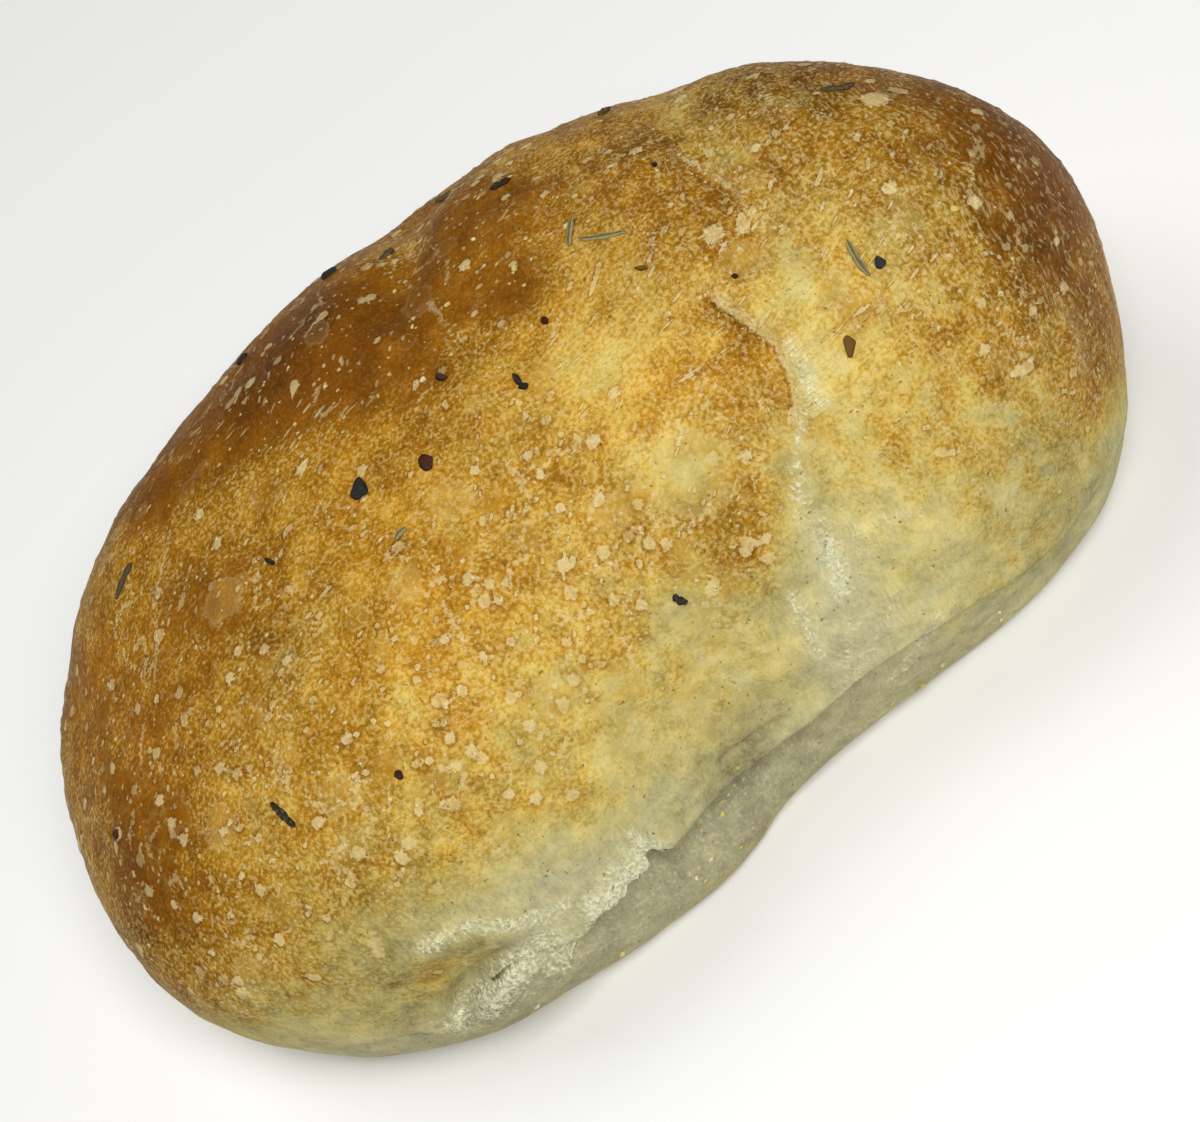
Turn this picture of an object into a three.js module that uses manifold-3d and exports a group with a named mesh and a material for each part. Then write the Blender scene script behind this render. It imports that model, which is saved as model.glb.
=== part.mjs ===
// A ciabatta roll: one oblong loaf with a domed crust, a folded and torn seam low on one long side,
// and dried rosemary and cracked pepper baked on to its top.
// Millimetres, +Z up. +X runs along the loaf to its higher end, -Y is the side with the torn seam,
// and the origin is the centre of the flat base.
import * as THREE from "three";
import { mergeVertices } from "three/addons/utils/BufferGeometryUtils.js";
import Module from "manifold-3d";

// ---- Driving dimensions ----------------------------------------------------------------------

// The loaf seen from above: a superellipse with low lobes, which make it a little bean-shaped.
const plan = { halfLength: 66, halfWidth: 41.5, squareness: 2.25 };
const lobes = { cos3: 0.034, sin3: -0.066, cos4: -0.016, sin4: -0.026 };

// The loaf seen from its end: a full dome over its widest line, a rounded flank and a flat base.
const crownHeight = 51;
const widestHeight = 20;
const domeFullness = 2.4;
const baseShare = 0.86; // the base's outline as a share of the widest outline

// How much higher the dome stands towards the +X end, as shares of the height.
const rise = { linear: 0.136, square: 0.087, cube: 0.225 };

// The seam round the loaf: a lip of crust above, a base roll below.
// Each station is [bearing in degrees, height of the lip, how far the lip hangs over the base
// roll, how far the foot of the base roll stands out]. Below zero, it's the other way round.
const seamStations = [
  [0, 9, 0.5, 0],
  [45, 9, 0.4, 0],
  [72, 10, 0.8, 0],
  [92, 11, 1.8, 0.3],
  [108, 10, 1.2, 0],
  [130, 9, 0.4, 0],
  [152, 10, 0.8, 0],
  [180, 10, 0.4, 0],
  [205, 13, 0.3, 0],
  [220, 15.5, 0.3, 0],
  [228, 13.5, -0.4, -0.4],
  [231.5, 16.5, -1, -0.7],
  [235.5, 18.8, -1.2, -0.9],
  [239, 19.2, -0.3, -0.8],
  [241.5, 18.2, 1.2, -0.6],
  [244, 17.6, 2.6, -0.3],
  [247, 18.3, 3.4, 0.1],
  [251, 18.3, 3.8, 0.6],
  [255, 17.8, 4, 1.2],
  [258, 16.8, 4, 1.6],
  [261.5, 15.9, 3.6, 1.9],
  [265, 16, 3, 2],
  [270, 15.8, 2.3, 1.8],
  [275, 15, 1.9, 1.1],
  [280, 14.2, 1.6, 0.6],
  [287, 14.6, 1.3, 0],
  [298, 16.2, 1, -1],
  [304, 16.3, 0.8, -1.3],
  [310, 14.8, 0.7, -1.3],
  [318, 11.5, 1, -0.7],
  [325, 11, 0.6, -0.2],
  [342, 9.5, 0.4, 0],
];
const lipFlare = 4; // height over which the crust turns out to the lip
const baseReturn = 6; // height over which the base roll comes back out below the lip
const lipShare = 0.35; // share of the overhang that stands proud; the rest is cut in under it

// The torn stretch of the lip, by bearing: its ragged teeth, and a notch torn up into the crust.
const torn = { from: 244, to: 260, tooth: 0.9 };
const notch = { at: 256.2, halfWidth: 1.1, rise: 2.8 };

// Broad swellings and dents: centre, radii and height (below zero for a dent).
const lumps = [
  { name: "white fold", at: [-28, -42, 12.5], radii: [7, 8, 4.5], height: 1.8 },
  { name: "hollow over the fold", at: [-34, -41, 21], radii: [7, 9, 5], height: -1.5 },
  { name: "pale bubble", at: [16.5, -27, 46], radii: [6, 6, 5], height: 0.7 },
  { name: "left bubble", at: [-30, -1.5, 45.7], radii: [4, 4, 4], height: 0.5 },
  { name: "head dent", at: [43, -34, 37.5], radii: [5, 5, 6], height: -0.9 },
  { name: "low head dent", at: [41.5, -37, 27], radii: [5, 6, 4], height: -0.7 },
  { name: "waist of the head", at: [65, -21, 12], radii: [11, 11, 11], height: -1.7 },
  { name: "cheek of the head", at: [67, -12, 36], radii: [11, 11, 11], height: 0.6 },
  { name: "brow of the head", at: [59, 6, 45], radii: [11, 11, 11], height: -0.4 },
  { name: "far shoulder", at: [24, 31, 42], radii: [11, 11, 11], height: 0.5 },
  { name: "far hollow", at: [9, 37, 40], radii: [11, 11, 11], height: -1.2 },
  { name: "far flat", at: [-22, 31, 40], radii: [26, 11, 11], height: -0.8 },
  { name: "heel", at: [-63, -10, 22], radii: [11, 11, 11], height: -0.4 },
  { name: "near heel", at: [-54, -30, 13], radii: [11, 11, 11], height: -0.5 },
  { name: "back dent", at: [-14, 40, 24], radii: [11, 8, 8], height: -1.1 },
  { name: "back swelling", at: [24, 40, 24], radii: [13, 9, 9], height: 0.8 },
];

// Creases and ridges: the points that they follow, half-width, and depth (below zero for a ridge).
// A step is how far the crust to the left of the path stands above the crust to its right.
const creases = [
  {
    name: "groove between the two swellings",
    path: [
      [40, 30, 40],
      [39.5, 16, 49],
      [38.4, -8, 54],
      [38, -18, 52.5],
      [32, -25, 49.2],
      [27, -30, 44.5],
      [23.7, -34.5, 38],
      [22, -37, 29],
      [18.5, -37.4, 17],
    ],
    halfWidth: 6,
    depth: 1.7,
    step: 0,
  },
  {
    name: "overlapping fold",
    path: [
      [26.5, -10, 53.5],
      [28.7, -16.6, 52.4],
      [30.3, -22, 50.6],
      [30, -26, 48.4],
      [28.4, -29, 46],
      [26.4, -31, 43.5],
    ],
    halfWidth: 1.3,
    depth: 0.7,
    step: 0.9,
  },
  {
    name: "far valley",
    path: [
      [13, 36, 38],
      [10, 28.6, 46],
      [7, 21.5, 49],
      [4, 15, 50.3],
      [1, 8, 51],
    ],
    halfWidth: 5,
    depth: 1.9,
    step: 0,
  },
  {
    name: "ridge on the head",
    path: [
      [24, -36.3, 33.7],
      [31.7, -37.5, 29.8],
      [39, -37.5, 23],
    ],
    halfWidth: 2.6,
    depth: -0.9,
    step: 0,
  },
  {
    name: "short ridge by the groove",
    path: [
      [12, -35.5, 33],
      [11.7, -36.3, 29],
      [11, -37, 23],
    ],
    halfWidth: 1.8,
    depth: -0.7,
    step: 0,
  },
  {
    name: "fold by the white bulge",
    path: [
      [-31, -41.5, 20],
      [-34, -41, 17],
      [-35.5, -40.5, 14],
      [-35, -39.5, 10],
    ],
    halfWidth: 1.6,
    depth: 1.5,
    step: 0,
  },
  {
    name: "second lip",
    path: [
      [0, -38, 19.5],
      [4, -37.3, 18.2],
      [8, -37, 17.6],
      [11, -36.8, 16.6],
    ],
    halfWidth: 1,
    depth: 0.8,
    step: 0.5,
  },
  {
    name: "rim of the hollow",
    path: [
      [-40, -38.5, 26],
      [-34, -40, 27],
      [-27, -41.5, 25],
      [-22, -42, 21],
    ],
    halfWidth: 1.8,
    depth: -0.7,
    step: 0,
  },
];

// A slow unevenness of the whole crust: wavelength and height of its coarse and its finer waves.
const waves = [
  { length: 27, height: 0.35, phase: 1.7 },
  { length: 10, height: 0.14, phase: 4.2 },
];

// Dried rosemary: where each needle lies in plan, its size, the way it points, and its bow.
const needleThickness = 0.7;
const needles = [
  { at: [22.4, 3.5], length: 4.1, width: 0.7, turn: 55, bow: 0.1 },
  { at: [24.6, -0.3], length: 5.4, width: 0.7, turn: 139, bow: 0.2 },
  { at: [42.7, -21.5], length: 4.5, width: 0.7, turn: 86, bow: 0.2 },
  { at: [53.3, -1.5], length: 3.8, width: 0.8, turn: 165, bow: 0.45 },
  { at: [-36.5, -25.5], length: 3.8, width: 0.8, turn: 94, bow: 0 },
  { at: [-38.7, 14], length: 4.4, width: 0.7, turn: 19, bow: 0.2 },
  { at: [20.2, 19.9], length: 2.6, width: 0.9, turn: 162, bow: 0.1 },
  { at: [5.7, 25.9], length: 2.1, width: 1.2, turn: 19, bow: 0 },
  { at: [8.3, -32.5], length: 1.7, width: 0.8, turn: 104, bow: 0.15 },
  { at: [15, 31.5], length: 2.4, width: 0.6, turn: 8, bow: -0.3 },
  { at: [34.3, 21.5], length: 2, width: 0.8, turn: 38, bow: 0.1 },
];

// Cracked pepper: where each chip lies in plan, its size, and the way it points.
const chipThickness = 1.1;
const chips = [
  { at: [-11.2, -4.5], length: 2.7, width: 2.1, turn: 75 },
  { at: [-3.9, -7.9], length: 2.4, width: 2, turn: 132 },
  { at: [8.6, -8.2], length: 2, width: 1.4, turn: 105 },
  { at: [44.1, -23], length: 1.3, width: 1.2, turn: 20 },
  { at: [36.7, -27.2], length: 2.3, width: 1.3, turn: 62 },
  { at: [-0.6, 30.6], length: 2.3, width: 1.1, turn: 141 },
  { at: [-14.1, 28.8], length: 2, width: 1, turn: 23 },
  { at: [-23.3, -2.8], length: 1.2, width: 0.7, turn: 107 },
  { at: [-24.3, -31.3], length: 1.1, width: 0.9, turn: 137 },
  { at: [-54.2, -8.3], length: 1.2, width: 0.8, turn: 6 },
  { at: [14.5, -4], length: 0.9, width: 0.7, turn: 132 },
  { at: [25.4, -7.5], length: 1.5, width: 0.7, turn: 130 },
];
const fleckLift = 0.12; // how far a fleck's middle stands above the crust

// How finely the crust is divided: columns round the loaf, and rows down each of its zones.
const columns = 112;
const domeRows = 27;
const flankRows = 3;
const footRows = 8;
const baseRings = 2;
const seamCrowding = 0.4; // how much closer the columns stand on the side with the torn seam
const seamBearing = 265;

// ---- The body of the loaf --------------------------------------------------------------------

const fullTurn = 2 * Math.PI;

function radians(degrees) {
  return (degrees * Math.PI) / 180;
}

function degreesOf(bearing) {
  return THREE.MathUtils.euclideanModulo((bearing * 180) / Math.PI, 360);
}

function smooth(from, to, value) {
  return THREE.MathUtils.smoothstep(value, from, to);
}

// A bell curve: 1 at nought, falling away on both sides.
function bell(value) {
  return Math.exp(-value * value);
}

// Distance from the middle of the loaf to its widest line, on a bearing.
function planRadius(bearing) {
  const { halfLength, halfWidth, squareness } = plan;
  const along = Math.abs(Math.cos(bearing) / halfLength) ** squareness;
  const across = Math.abs(Math.sin(bearing) / halfWidth) ** squareness;
  const lobed =
    lobes.cos3 * Math.cos(3 * bearing) +
    lobes.sin3 * Math.sin(3 * bearing) +
    lobes.cos4 * Math.cos(4 * bearing) +
    lobes.sin4 * Math.sin(4 * bearing);
  return (along + across) ** (-1 / squareness) * (1 + lobed);
}

// A point at a share of the plan radius and a height, lifted where the dome rises.
function placed(bearing, share, height) {
  const radius = planRadius(bearing) * share;
  const x = radius * Math.cos(bearing);
  const end = x / plan.halfLength;
  const lift = rise.linear * end + rise.square * end ** 2 + rise.cube * end ** 3;
  return new THREE.Vector3(
    x,
    radius * Math.sin(bearing),
    height * (1 + (height / crownHeight) * lift),
  );
}

// Height of the dome at a fall, which is 0 at the crown and 1 on the widest line.
function domeHeight(fall) {
  const slope = (1 - fall) * (Math.PI / 2);
  const share = Math.max(Math.sin(slope), 0) ** (2 / domeFullness);
  return THREE.MathUtils.lerp(widestHeight, crownHeight, share);
}

// The dome, a quarter of a superellipse from the crown down to the widest line.
function domePoint(bearing, fall) {
  const slope = (1 - fall) * (Math.PI / 2);
  const share = Math.max(Math.cos(slope), 0) ** (2 / domeFullness);
  return placed(bearing, share, domeHeight(fall));
}

// The flank below the widest line, a quarter of an ellipse that ends on the base.
function flankPoint(bearing, height) {
  const sunk = (widestHeight - height) / widestHeight;
  const share = 1 - (1 - baseShare) * (1 - Math.sqrt(Math.max(1 - sunk * sunk, 0)));
  return placed(bearing, share, height);
}

// The outward normal of a surface given by bearing and by one more value, which grows
// downwards where sense is 1 and upwards where it's -1.
function normalOf(surface, bearing, value, sense) {
  const small = 1e-3;
  const round = surface(bearing + small, value).sub(surface(bearing - small, value));
  const down = surface(bearing, value + small * sense).sub(surface(bearing, value - small * sense));
  return down.cross(round).normalize();
}

// ---- What shapes the crust -------------------------------------------------------------------

// A seam station, counted on round the loaf in either direction.
function stationAt(index) {
  const count = seamStations.length;
  const station = seamStations[THREE.MathUtils.euclideanModulo(index, count)];
  return { bearing: station[0] + 360 * Math.floor(index / count), values: station.slice(1) };
}

// The seam on a bearing: its stations joined by smooth cubic curves.
function seamOn(bearing) {
  const degrees = degreesOf(bearing);
  let index = seamStations.length - 1;
  while (index > 0 && seamStations[index][0] > degrees) index -= 1;
  const [before, start, end, after] = [index - 1, index, index + 1, index + 2].map(stationAt);
  const span = end.bearing - start.bearing;
  const t = (degrees - start.bearing) / span;
  const [lip, overhang, foot] = [0, 1, 2].map((k) => {
    const slopeIn = (end.values[k] - before.values[k]) / (end.bearing - before.bearing);
    const slopeOut = (after.values[k] - start.values[k]) / (after.bearing - start.bearing);
    return (
      (2 * t ** 3 - 3 * t ** 2 + 1) * start.values[k] +
      (t ** 3 - 2 * t ** 2 + t) * slopeIn * span +
      (3 * t ** 2 - 2 * t ** 3) * end.values[k] +
      (t ** 3 - t ** 2) * slopeOut * span
    );
  });
  const edge = smooth(torn.from, torn.from + 3, degrees) * smooth(torn.to, torn.to - 3, degrees);
  const teeth =
    0.5 * Math.sin(1.3 * degrees + 1) +
    0.3 * Math.sin(2.9 * degrees) +
    0.25 * Math.sin(5.3 * degrees + 2);
  const torned = notch.rise * bell((degrees - notch.at) / notch.halfWidth);
  const ragged = lip + torn.tooth * edge * teeth + torned;
  return { lip: Math.min(ragged, widestHeight), overhang, foot };
}

// Slow waves that run in seven directions through the loaf, so that no two places are alike.
function waveHeight(point) {
  const directions = 7;
  const goldenAngle = 2.39996;
  let sum = 0;
  for (const { length, height, phase } of waves) {
    for (let k = 0; k < directions; k += 1) {
      const level = 1 - (2 * k + 1) / directions;
      const flat = Math.sqrt(1 - level * level);
      const turn = goldenAngle * k + phase;
      const run = point.x * flat * Math.cos(turn) + point.y * flat * Math.sin(turn) + point.z * level;
      const swell = Math.sin((run * fullTurn) / (length * (1 + 0.13 * k)) + phase * (k + 1));
      sum += (height * swell) / Math.sqrt(directions);
    }
  }
  return sum;
}

// Height of the broad swellings and dents at a point.
function lumpHeight(point) {
  let sum = 0;
  for (const { at, radii, height } of lumps) {
    const away = new THREE.Vector3(...at).sub(point).divide(new THREE.Vector3(...radii));
    sum += height * bell(away.length());
  }
  return sum;
}

// Height of the creases and ridges at a point, each fading out towards its ends.
function creaseHeight(point, normal) {
  let sum = 0;
  for (const { path, halfWidth, depth, step } of creases) {
    const knots = path.map((at) => new THREE.Vector3(...at));
    const near = { distance: Infinity, share: 0, side: 1 };
    for (let k = 0; k + 1 < knots.length; k += 1) {
      const run = knots[k + 1].clone().sub(knots[k]);
      const away = point.clone().sub(knots[k]);
      const t = THREE.MathUtils.clamp(away.dot(run) / run.lengthSq(), 0, 1);
      away.addScaledVector(run, -t);
      if (away.length() < near.distance) {
        near.distance = away.length();
        near.share = (k + t) / (knots.length - 1);
        near.side = Math.sign(normal.clone().cross(run).dot(away));
      }
    }
    const fade = smooth(0, 0.2, near.share) * (1 - smooth(0.8, 1, near.share));
    const offset = near.distance / halfWidth;
    const stepped = 0.5 * step * near.side * Math.min(offset, 1) * bell(offset / 3.5);
    sum += fade * (stepped - depth * bell(offset));
  }
  return sum;
}

// Moves a point of the body along its outward normal by all of the relief, which dies away
// towards the base so that the base stays flat.
function withRelief(point, normal) {
  const relief = lumpHeight(point) + creaseHeight(point, normal) + waveHeight(point);
  const moved = point.clone().addScaledVector(normal, relief * smooth(0, 5, point.z));
  moved.z = Math.max(moved.z, 0);
  return moved;
}

// The normal laid level, for what stands out sideways.
function levelOf(normal) {
  return normal.clone().setZ(0).normalize();
}

// The crust above the lip, which turns out towards the lip.
function turnedOut(point, normal, bearing, height) {
  const { lip, overhang } = seamOn(bearing);
  const out = lipShare * overhang * bell((height - lip) / lipFlare);
  return withRelief(point, normal).addScaledVector(levelOf(normal), out * smooth(0, 3, height));
}

function crustOnDome(bearing, fall) {
  const normal = normalOf(domePoint, bearing, THREE.MathUtils.clamp(fall, 1e-3, 0.999), 1);
  return turnedOut(domePoint(bearing, fall), normal, bearing, domeHeight(fall));
}

function flankNormal(bearing, height) {
  return normalOf(flankPoint, bearing, THREE.MathUtils.clamp(height, 0.5, widestHeight - 0.5), -1);
}

function crustOnFlank(bearing, height) {
  return turnedOut(flankPoint(bearing, height), flankNormal(bearing, height), bearing, height);
}

// The base roll, cut in under the lip and standing out again at its foot.
function baseRoll(bearing, height) {
  const { lip, overhang, foot } = seamOn(bearing);
  const normal = flankNormal(bearing, height);
  const cut = (1 - lipShare) * overhang * bell((lip - height) / baseReturn) * smooth(0, 3, height);
  const stand = foot * (1 - smooth(0.3 * lip, 0.95 * lip, height));
  return withRelief(flankPoint(bearing, height), normal).addScaledVector(levelOf(normal), stand - cut);
}

// ---- The mesh of the crust -------------------------------------------------------------------

// Bearings of the columns, closer together on the side with the torn seam.
function columnBearings() {
  return Array.from({ length: columns }, (_, k) => {
    const even = (k / columns) * fullTurn;
    return even - seamCrowding * Math.sin(even - radians(seamBearing));
  });
}

// One ring of points for each row, from the crown down to the base.
function crustRings() {
  const bearings = columnBearings();
  const rings = [];
  for (let row = 1; row <= domeRows; row += 1) {
    rings.push(bearings.map((bearing) => crustOnDome(bearing, row / domeRows)));
  }
  for (let row = 1; row <= flankRows; row += 1) {
    rings.push(
      bearings.map((bearing) => {
        const height = THREE.MathUtils.lerp(widestHeight, seamOn(bearing).lip, row / flankRows);
        return crustOnFlank(bearing, height);
      }),
    );
  }
  for (let row = 0; row <= footRows; row += 1) {
    const share = 1 - Math.sin((row / footRows) * (Math.PI / 2));
    rings.push(bearings.map((bearing) => baseRoll(bearing, seamOn(bearing).lip * share)));
  }
  const foot = rings.at(-1);
  for (let ring = 1; ring <= baseRings; ring += 1) {
    const share = 1 - ring / (baseRings + 1);
    rings.push(foot.map((point) => point.clone().multiplyScalar(share)));
  }
  return rings;
}

// Joins the rings and their two poles into one closed geometry with its faces outwards.
function crustGeometry() {
  const rings = crustRings();
  const crown = crustOnDome(0, 0);
  const points = [crown, ...rings.flat(), new THREE.Vector3(0, 0, 0)];
  const pole = points.length - 1;
  const index = [];
  for (let k = 0; k < columns; k += 1) {
    const next = (k + 1) % columns;
    index.push(0, 1 + k, 1 + next);
    for (let ring = 0; ring + 1 < rings.length; ring += 1) {
      const upper = 1 + ring * columns;
      const lower = upper + columns;
      index.push(upper + k, lower + k, lower + next);
      index.push(upper + k, lower + next, upper + next);
    }
    const innermost = pole - columns;
    index.push(pole, innermost + next, innermost + k);
  }
  return new THREE.BufferGeometry().setFromPoints(points).setIndex(index);
}

// ---- Flecks on the crust ---------------------------------------------------------------------

// A frame on the crust at a place in plan: its X axis turned in plan, its Z axis along the normal.
function frameOnCrust([x, y], turn) {
  const bearing = Math.atan2(y, x);
  const share = Math.min(Math.hypot(x, y) / planRadius(bearing), 0.999);
  const fall = 1 - Math.acos(share ** (domeFullness / 2)) / (Math.PI / 2);
  const normal = normalOf(domePoint, bearing, fall, 1);
  const heading = new THREE.Vector3(Math.cos(radians(turn)), Math.sin(radians(turn)), 0);
  const across = normal.clone().cross(heading).normalize();
  const along = across.clone().cross(normal);
  const middle = crustOnDome(bearing, fall).addScaledVector(normal, fleckLift);
  return new THREE.Matrix4().makeBasis(along, across, normal).setPosition(middle);
}

// A dried needle of rosemary: a bowed bar with five sides that tapers to both ends.
function needleGeometry({ length, width, bow }) {
  const sides = 5;
  const stations = [-0.5, -0.35, 0, 0.35, 0.5];
  const girths = [0.35, 0.9, 1, 0.9, 0.4];
  const points = stations.flatMap((station, k) =>
    Array.from({ length: sides }, (_, side) => {
      const turn = (side / sides) * fullTurn;
      return new THREE.Vector3(
        station * length,
        bow * (1 - 4 * station ** 2) + (girths[k] * width * Math.cos(turn)) / 2,
        (girths[k] * needleThickness * Math.sin(turn)) / 2,
      );
    }),
  );
  const index = [];
  for (let side = 0; side < sides; side += 1) {
    const next = (side + 1) % sides;
    for (let k = 0; k + 1 < stations.length; k += 1) {
      const start = k * sides;
      const end = start + sides;
      index.push(start + side, start + next, end + next);
      index.push(start + side, end + next, end + side);
    }
  }
  const tail = (stations.length - 1) * sides;
  for (let side = 1; side + 1 < sides; side += 1) {
    index.push(0, side + 1, side);
    index.push(tail, tail + side, tail + side + 1);
  }
  return new THREE.BufferGeometry().setFromPoints(points).setIndex(index);
}

// A chip of cracked pepper: a flattened icosahedron with its corners pushed in and out.
function chipGeometry({ length, width, turn }) {
  const bare = new THREE.IcosahedronGeometry(0.5, 0).deleteAttribute("normal").deleteAttribute("uv");
  const geometry = mergeVertices(bare);
  const corners = geometry.getAttribute("position");
  for (let k = 0; k < corners.count; k += 1) {
    const jag = 1 + 0.16 * Math.sin(7.1 * k + turn);
    corners.setXYZ(
      k,
      corners.getX(k) * length * jag,
      corners.getY(k) * width * jag,
      corners.getZ(k) * chipThickness,
    );
  }
  return geometry;
}

// ---- The solid -------------------------------------------------------------------------------

const wasm = await Module();
wasm.setup();

// A closed geometry as a solid that can be joined to others.
function solidOf(geometry) {
  const merged = mergeVertices(geometry, 1e-4);
  return new wasm.Manifold(
    new wasm.Mesh({
      numProp: 3,
      vertProperties: merged.getAttribute("position").array,
      triVerts: new Uint32Array(merged.index.array),
    }),
  );
}

function geometryOf(solid) {
  const { numProp, numVert, vertProperties, triVerts } = solid.getMesh();
  const positions = new Float32Array(numVert * 3);
  for (let k = 0; k < numVert; k += 1) {
    positions.set(vertProperties.subarray(k * numProp, k * numProp + 3), k * 3);
  }
  return new THREE.BufferGeometry()
    .setAttribute("position", new THREE.BufferAttribute(positions, 3))
    .setIndex(new THREE.BufferAttribute(triVerts, 1));
}

// The crust with every fleck fused to it.
function rollSolid() {
  const needleShapes = needles.map((needle) =>
    needleGeometry(needle).applyMatrix4(frameOnCrust(needle.at, needle.turn)),
  );
  const chipShapes = chips.map((chip) =>
    chipGeometry(chip).applyMatrix4(frameOnCrust(chip.at, chip.turn)),
  );
  return [...needleShapes, ...chipShapes].reduce(
    (solid, shape) => solid.add(solidOf(shape)),
    solidOf(crustGeometry()),
  );
}

const crust = new THREE.MeshStandardMaterial({ color: 0xc79a4e, roughness: 0.72, metalness: 0 });
const roll = new THREE.Mesh(geometryOf(rollSolid()), crust);
roll.name = "roll";

// The origin is the middle of the base, so the loaf moves by the middle of its own box.
roll.geometry.computeBoundingBox();
const middle = roll.geometry.boundingBox.getCenter(new THREE.Vector3());
roll.position.set(-middle.x, -middle.y, 0);

const ciabatta = new THREE.Group();
ciabatta.add(roll);

export default ciabatta;
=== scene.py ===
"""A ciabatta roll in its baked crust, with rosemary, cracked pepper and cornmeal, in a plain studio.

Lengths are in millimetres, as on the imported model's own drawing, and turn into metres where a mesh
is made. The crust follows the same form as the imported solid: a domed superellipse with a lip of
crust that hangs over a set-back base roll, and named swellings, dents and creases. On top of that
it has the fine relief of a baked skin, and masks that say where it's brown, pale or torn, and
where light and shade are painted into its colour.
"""

from __future__ import annotations

import itertools
import logging
from dataclasses import dataclass, field
from enum import Enum

import bmesh
import bpy
import numpy as np
from mathutils import Matrix, Vector


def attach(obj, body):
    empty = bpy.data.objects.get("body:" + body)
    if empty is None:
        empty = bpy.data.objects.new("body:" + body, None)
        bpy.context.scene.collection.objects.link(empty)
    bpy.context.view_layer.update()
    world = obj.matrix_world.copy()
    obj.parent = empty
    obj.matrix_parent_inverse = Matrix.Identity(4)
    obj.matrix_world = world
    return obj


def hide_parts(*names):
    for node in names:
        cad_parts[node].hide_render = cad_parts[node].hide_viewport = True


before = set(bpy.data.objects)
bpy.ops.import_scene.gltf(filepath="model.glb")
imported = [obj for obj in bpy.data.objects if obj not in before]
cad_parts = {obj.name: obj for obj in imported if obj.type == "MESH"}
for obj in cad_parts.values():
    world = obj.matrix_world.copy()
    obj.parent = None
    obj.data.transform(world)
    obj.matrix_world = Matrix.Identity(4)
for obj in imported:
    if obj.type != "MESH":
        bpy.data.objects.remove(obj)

LOG = logging.getLogger("ciabatta")
MM = 0.001
FULL_TURN = 2 * np.pi
FULL_DEGREES = 360
HALF_DEGREES = 180
BODY = "root"
SOLID = "roll"
FINE_ROUGHNESS = 0.6
LATTICE_PRIMES = (73856093, 19349663, 83492791)
SEED_PRIME = 40503
WORD = 0xFFFFFFFF
HALF_WORD = 0x7FFFFFFF
MIXING = ((15, 0x2C1B3C6D), (12, 0x297A2D39))

Array = np.ndarray
Node = bpy.types.Node
Socket = bpy.types.NodeSocket
Tree = bpy.types.NodeTree
Span = tuple[float, float]
Point = tuple[float, float, float]
Path = tuple[Point, ...]
Colour = tuple[float, float, float]
Stops = tuple[tuple[float, Colour], ...]
Spot = tuple[float, float, float, float, float]


# ---- Small tools


def smooth(start: float | Array, end: float | Array, value: Array) -> Array:
    """Gives a smooth step from 0 at start to 1 at end.

    Args:
        start: Where the step begins.
        end: Where it ends, which may be below start.
        value: What is measured.

    Returns:
        The step, 3t^2 - 2t^3 of the share t of the way.
    """
    share = np.clip((value - start) / (end - start), 0, 1)
    return share * share * (3 - 2 * share)


def bell(value: Array) -> Array:
    """Gives a bell curve, exp(-value^2), which is 1 at nought."""
    return np.exp(-value * value)


def unit(vectors: Array) -> Array:
    """Gives vectors of length 1 in the same directions, with one vector on each row."""
    return vectors / np.maximum(np.linalg.norm(vectors, axis=-1, keepdims=True), 1e-12)


def level(normals: Array) -> Array:
    """Gives normals laid level, for what stands out sideways."""
    return unit(normals * np.array([1.0, 1.0, 0.0]))


def lattice_noise(points: Array, cell: float, seed: int) -> Array:
    """Makes smooth noise from random values on a cubic lattice.

    The value at a point is the mean of the eight lattice values round it, weighted by smooth
    steps of the point's place in its cell. Each lattice value comes from mixing the bits of its
    three whole coordinates and the seed.

    Args:
        points: Places, as rows of three.
        cell: Size of a lattice cell.
        seed: Picks one of the many noises.

    Returns:
        Noise between -1 and 1, one value for each point.
    """
    place = points / cell
    corner = np.floor(place).astype(np.int64)
    share = place - corner
    share = share * share * (3 - 2 * share)
    total = np.zeros(points.shape[:-1])
    for step in itertools.product((0, 1), repeat=3):
        mixed = (corner + np.array(step)) @ np.array(LATTICE_PRIMES)
        mixed = (mixed + seed * SEED_PRIME) & WORD
        for shift, factor in MIXING:
            mixed = ((mixed ^ (mixed >> shift)) * factor) & WORD
        value = (mixed ^ (mixed >> MIXING[0][0])) / HALF_WORD - 1
        weight = np.prod(np.where(np.array(step) == 1, share, 1 - share), axis=-1)
        total += value * weight
    return total


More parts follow.
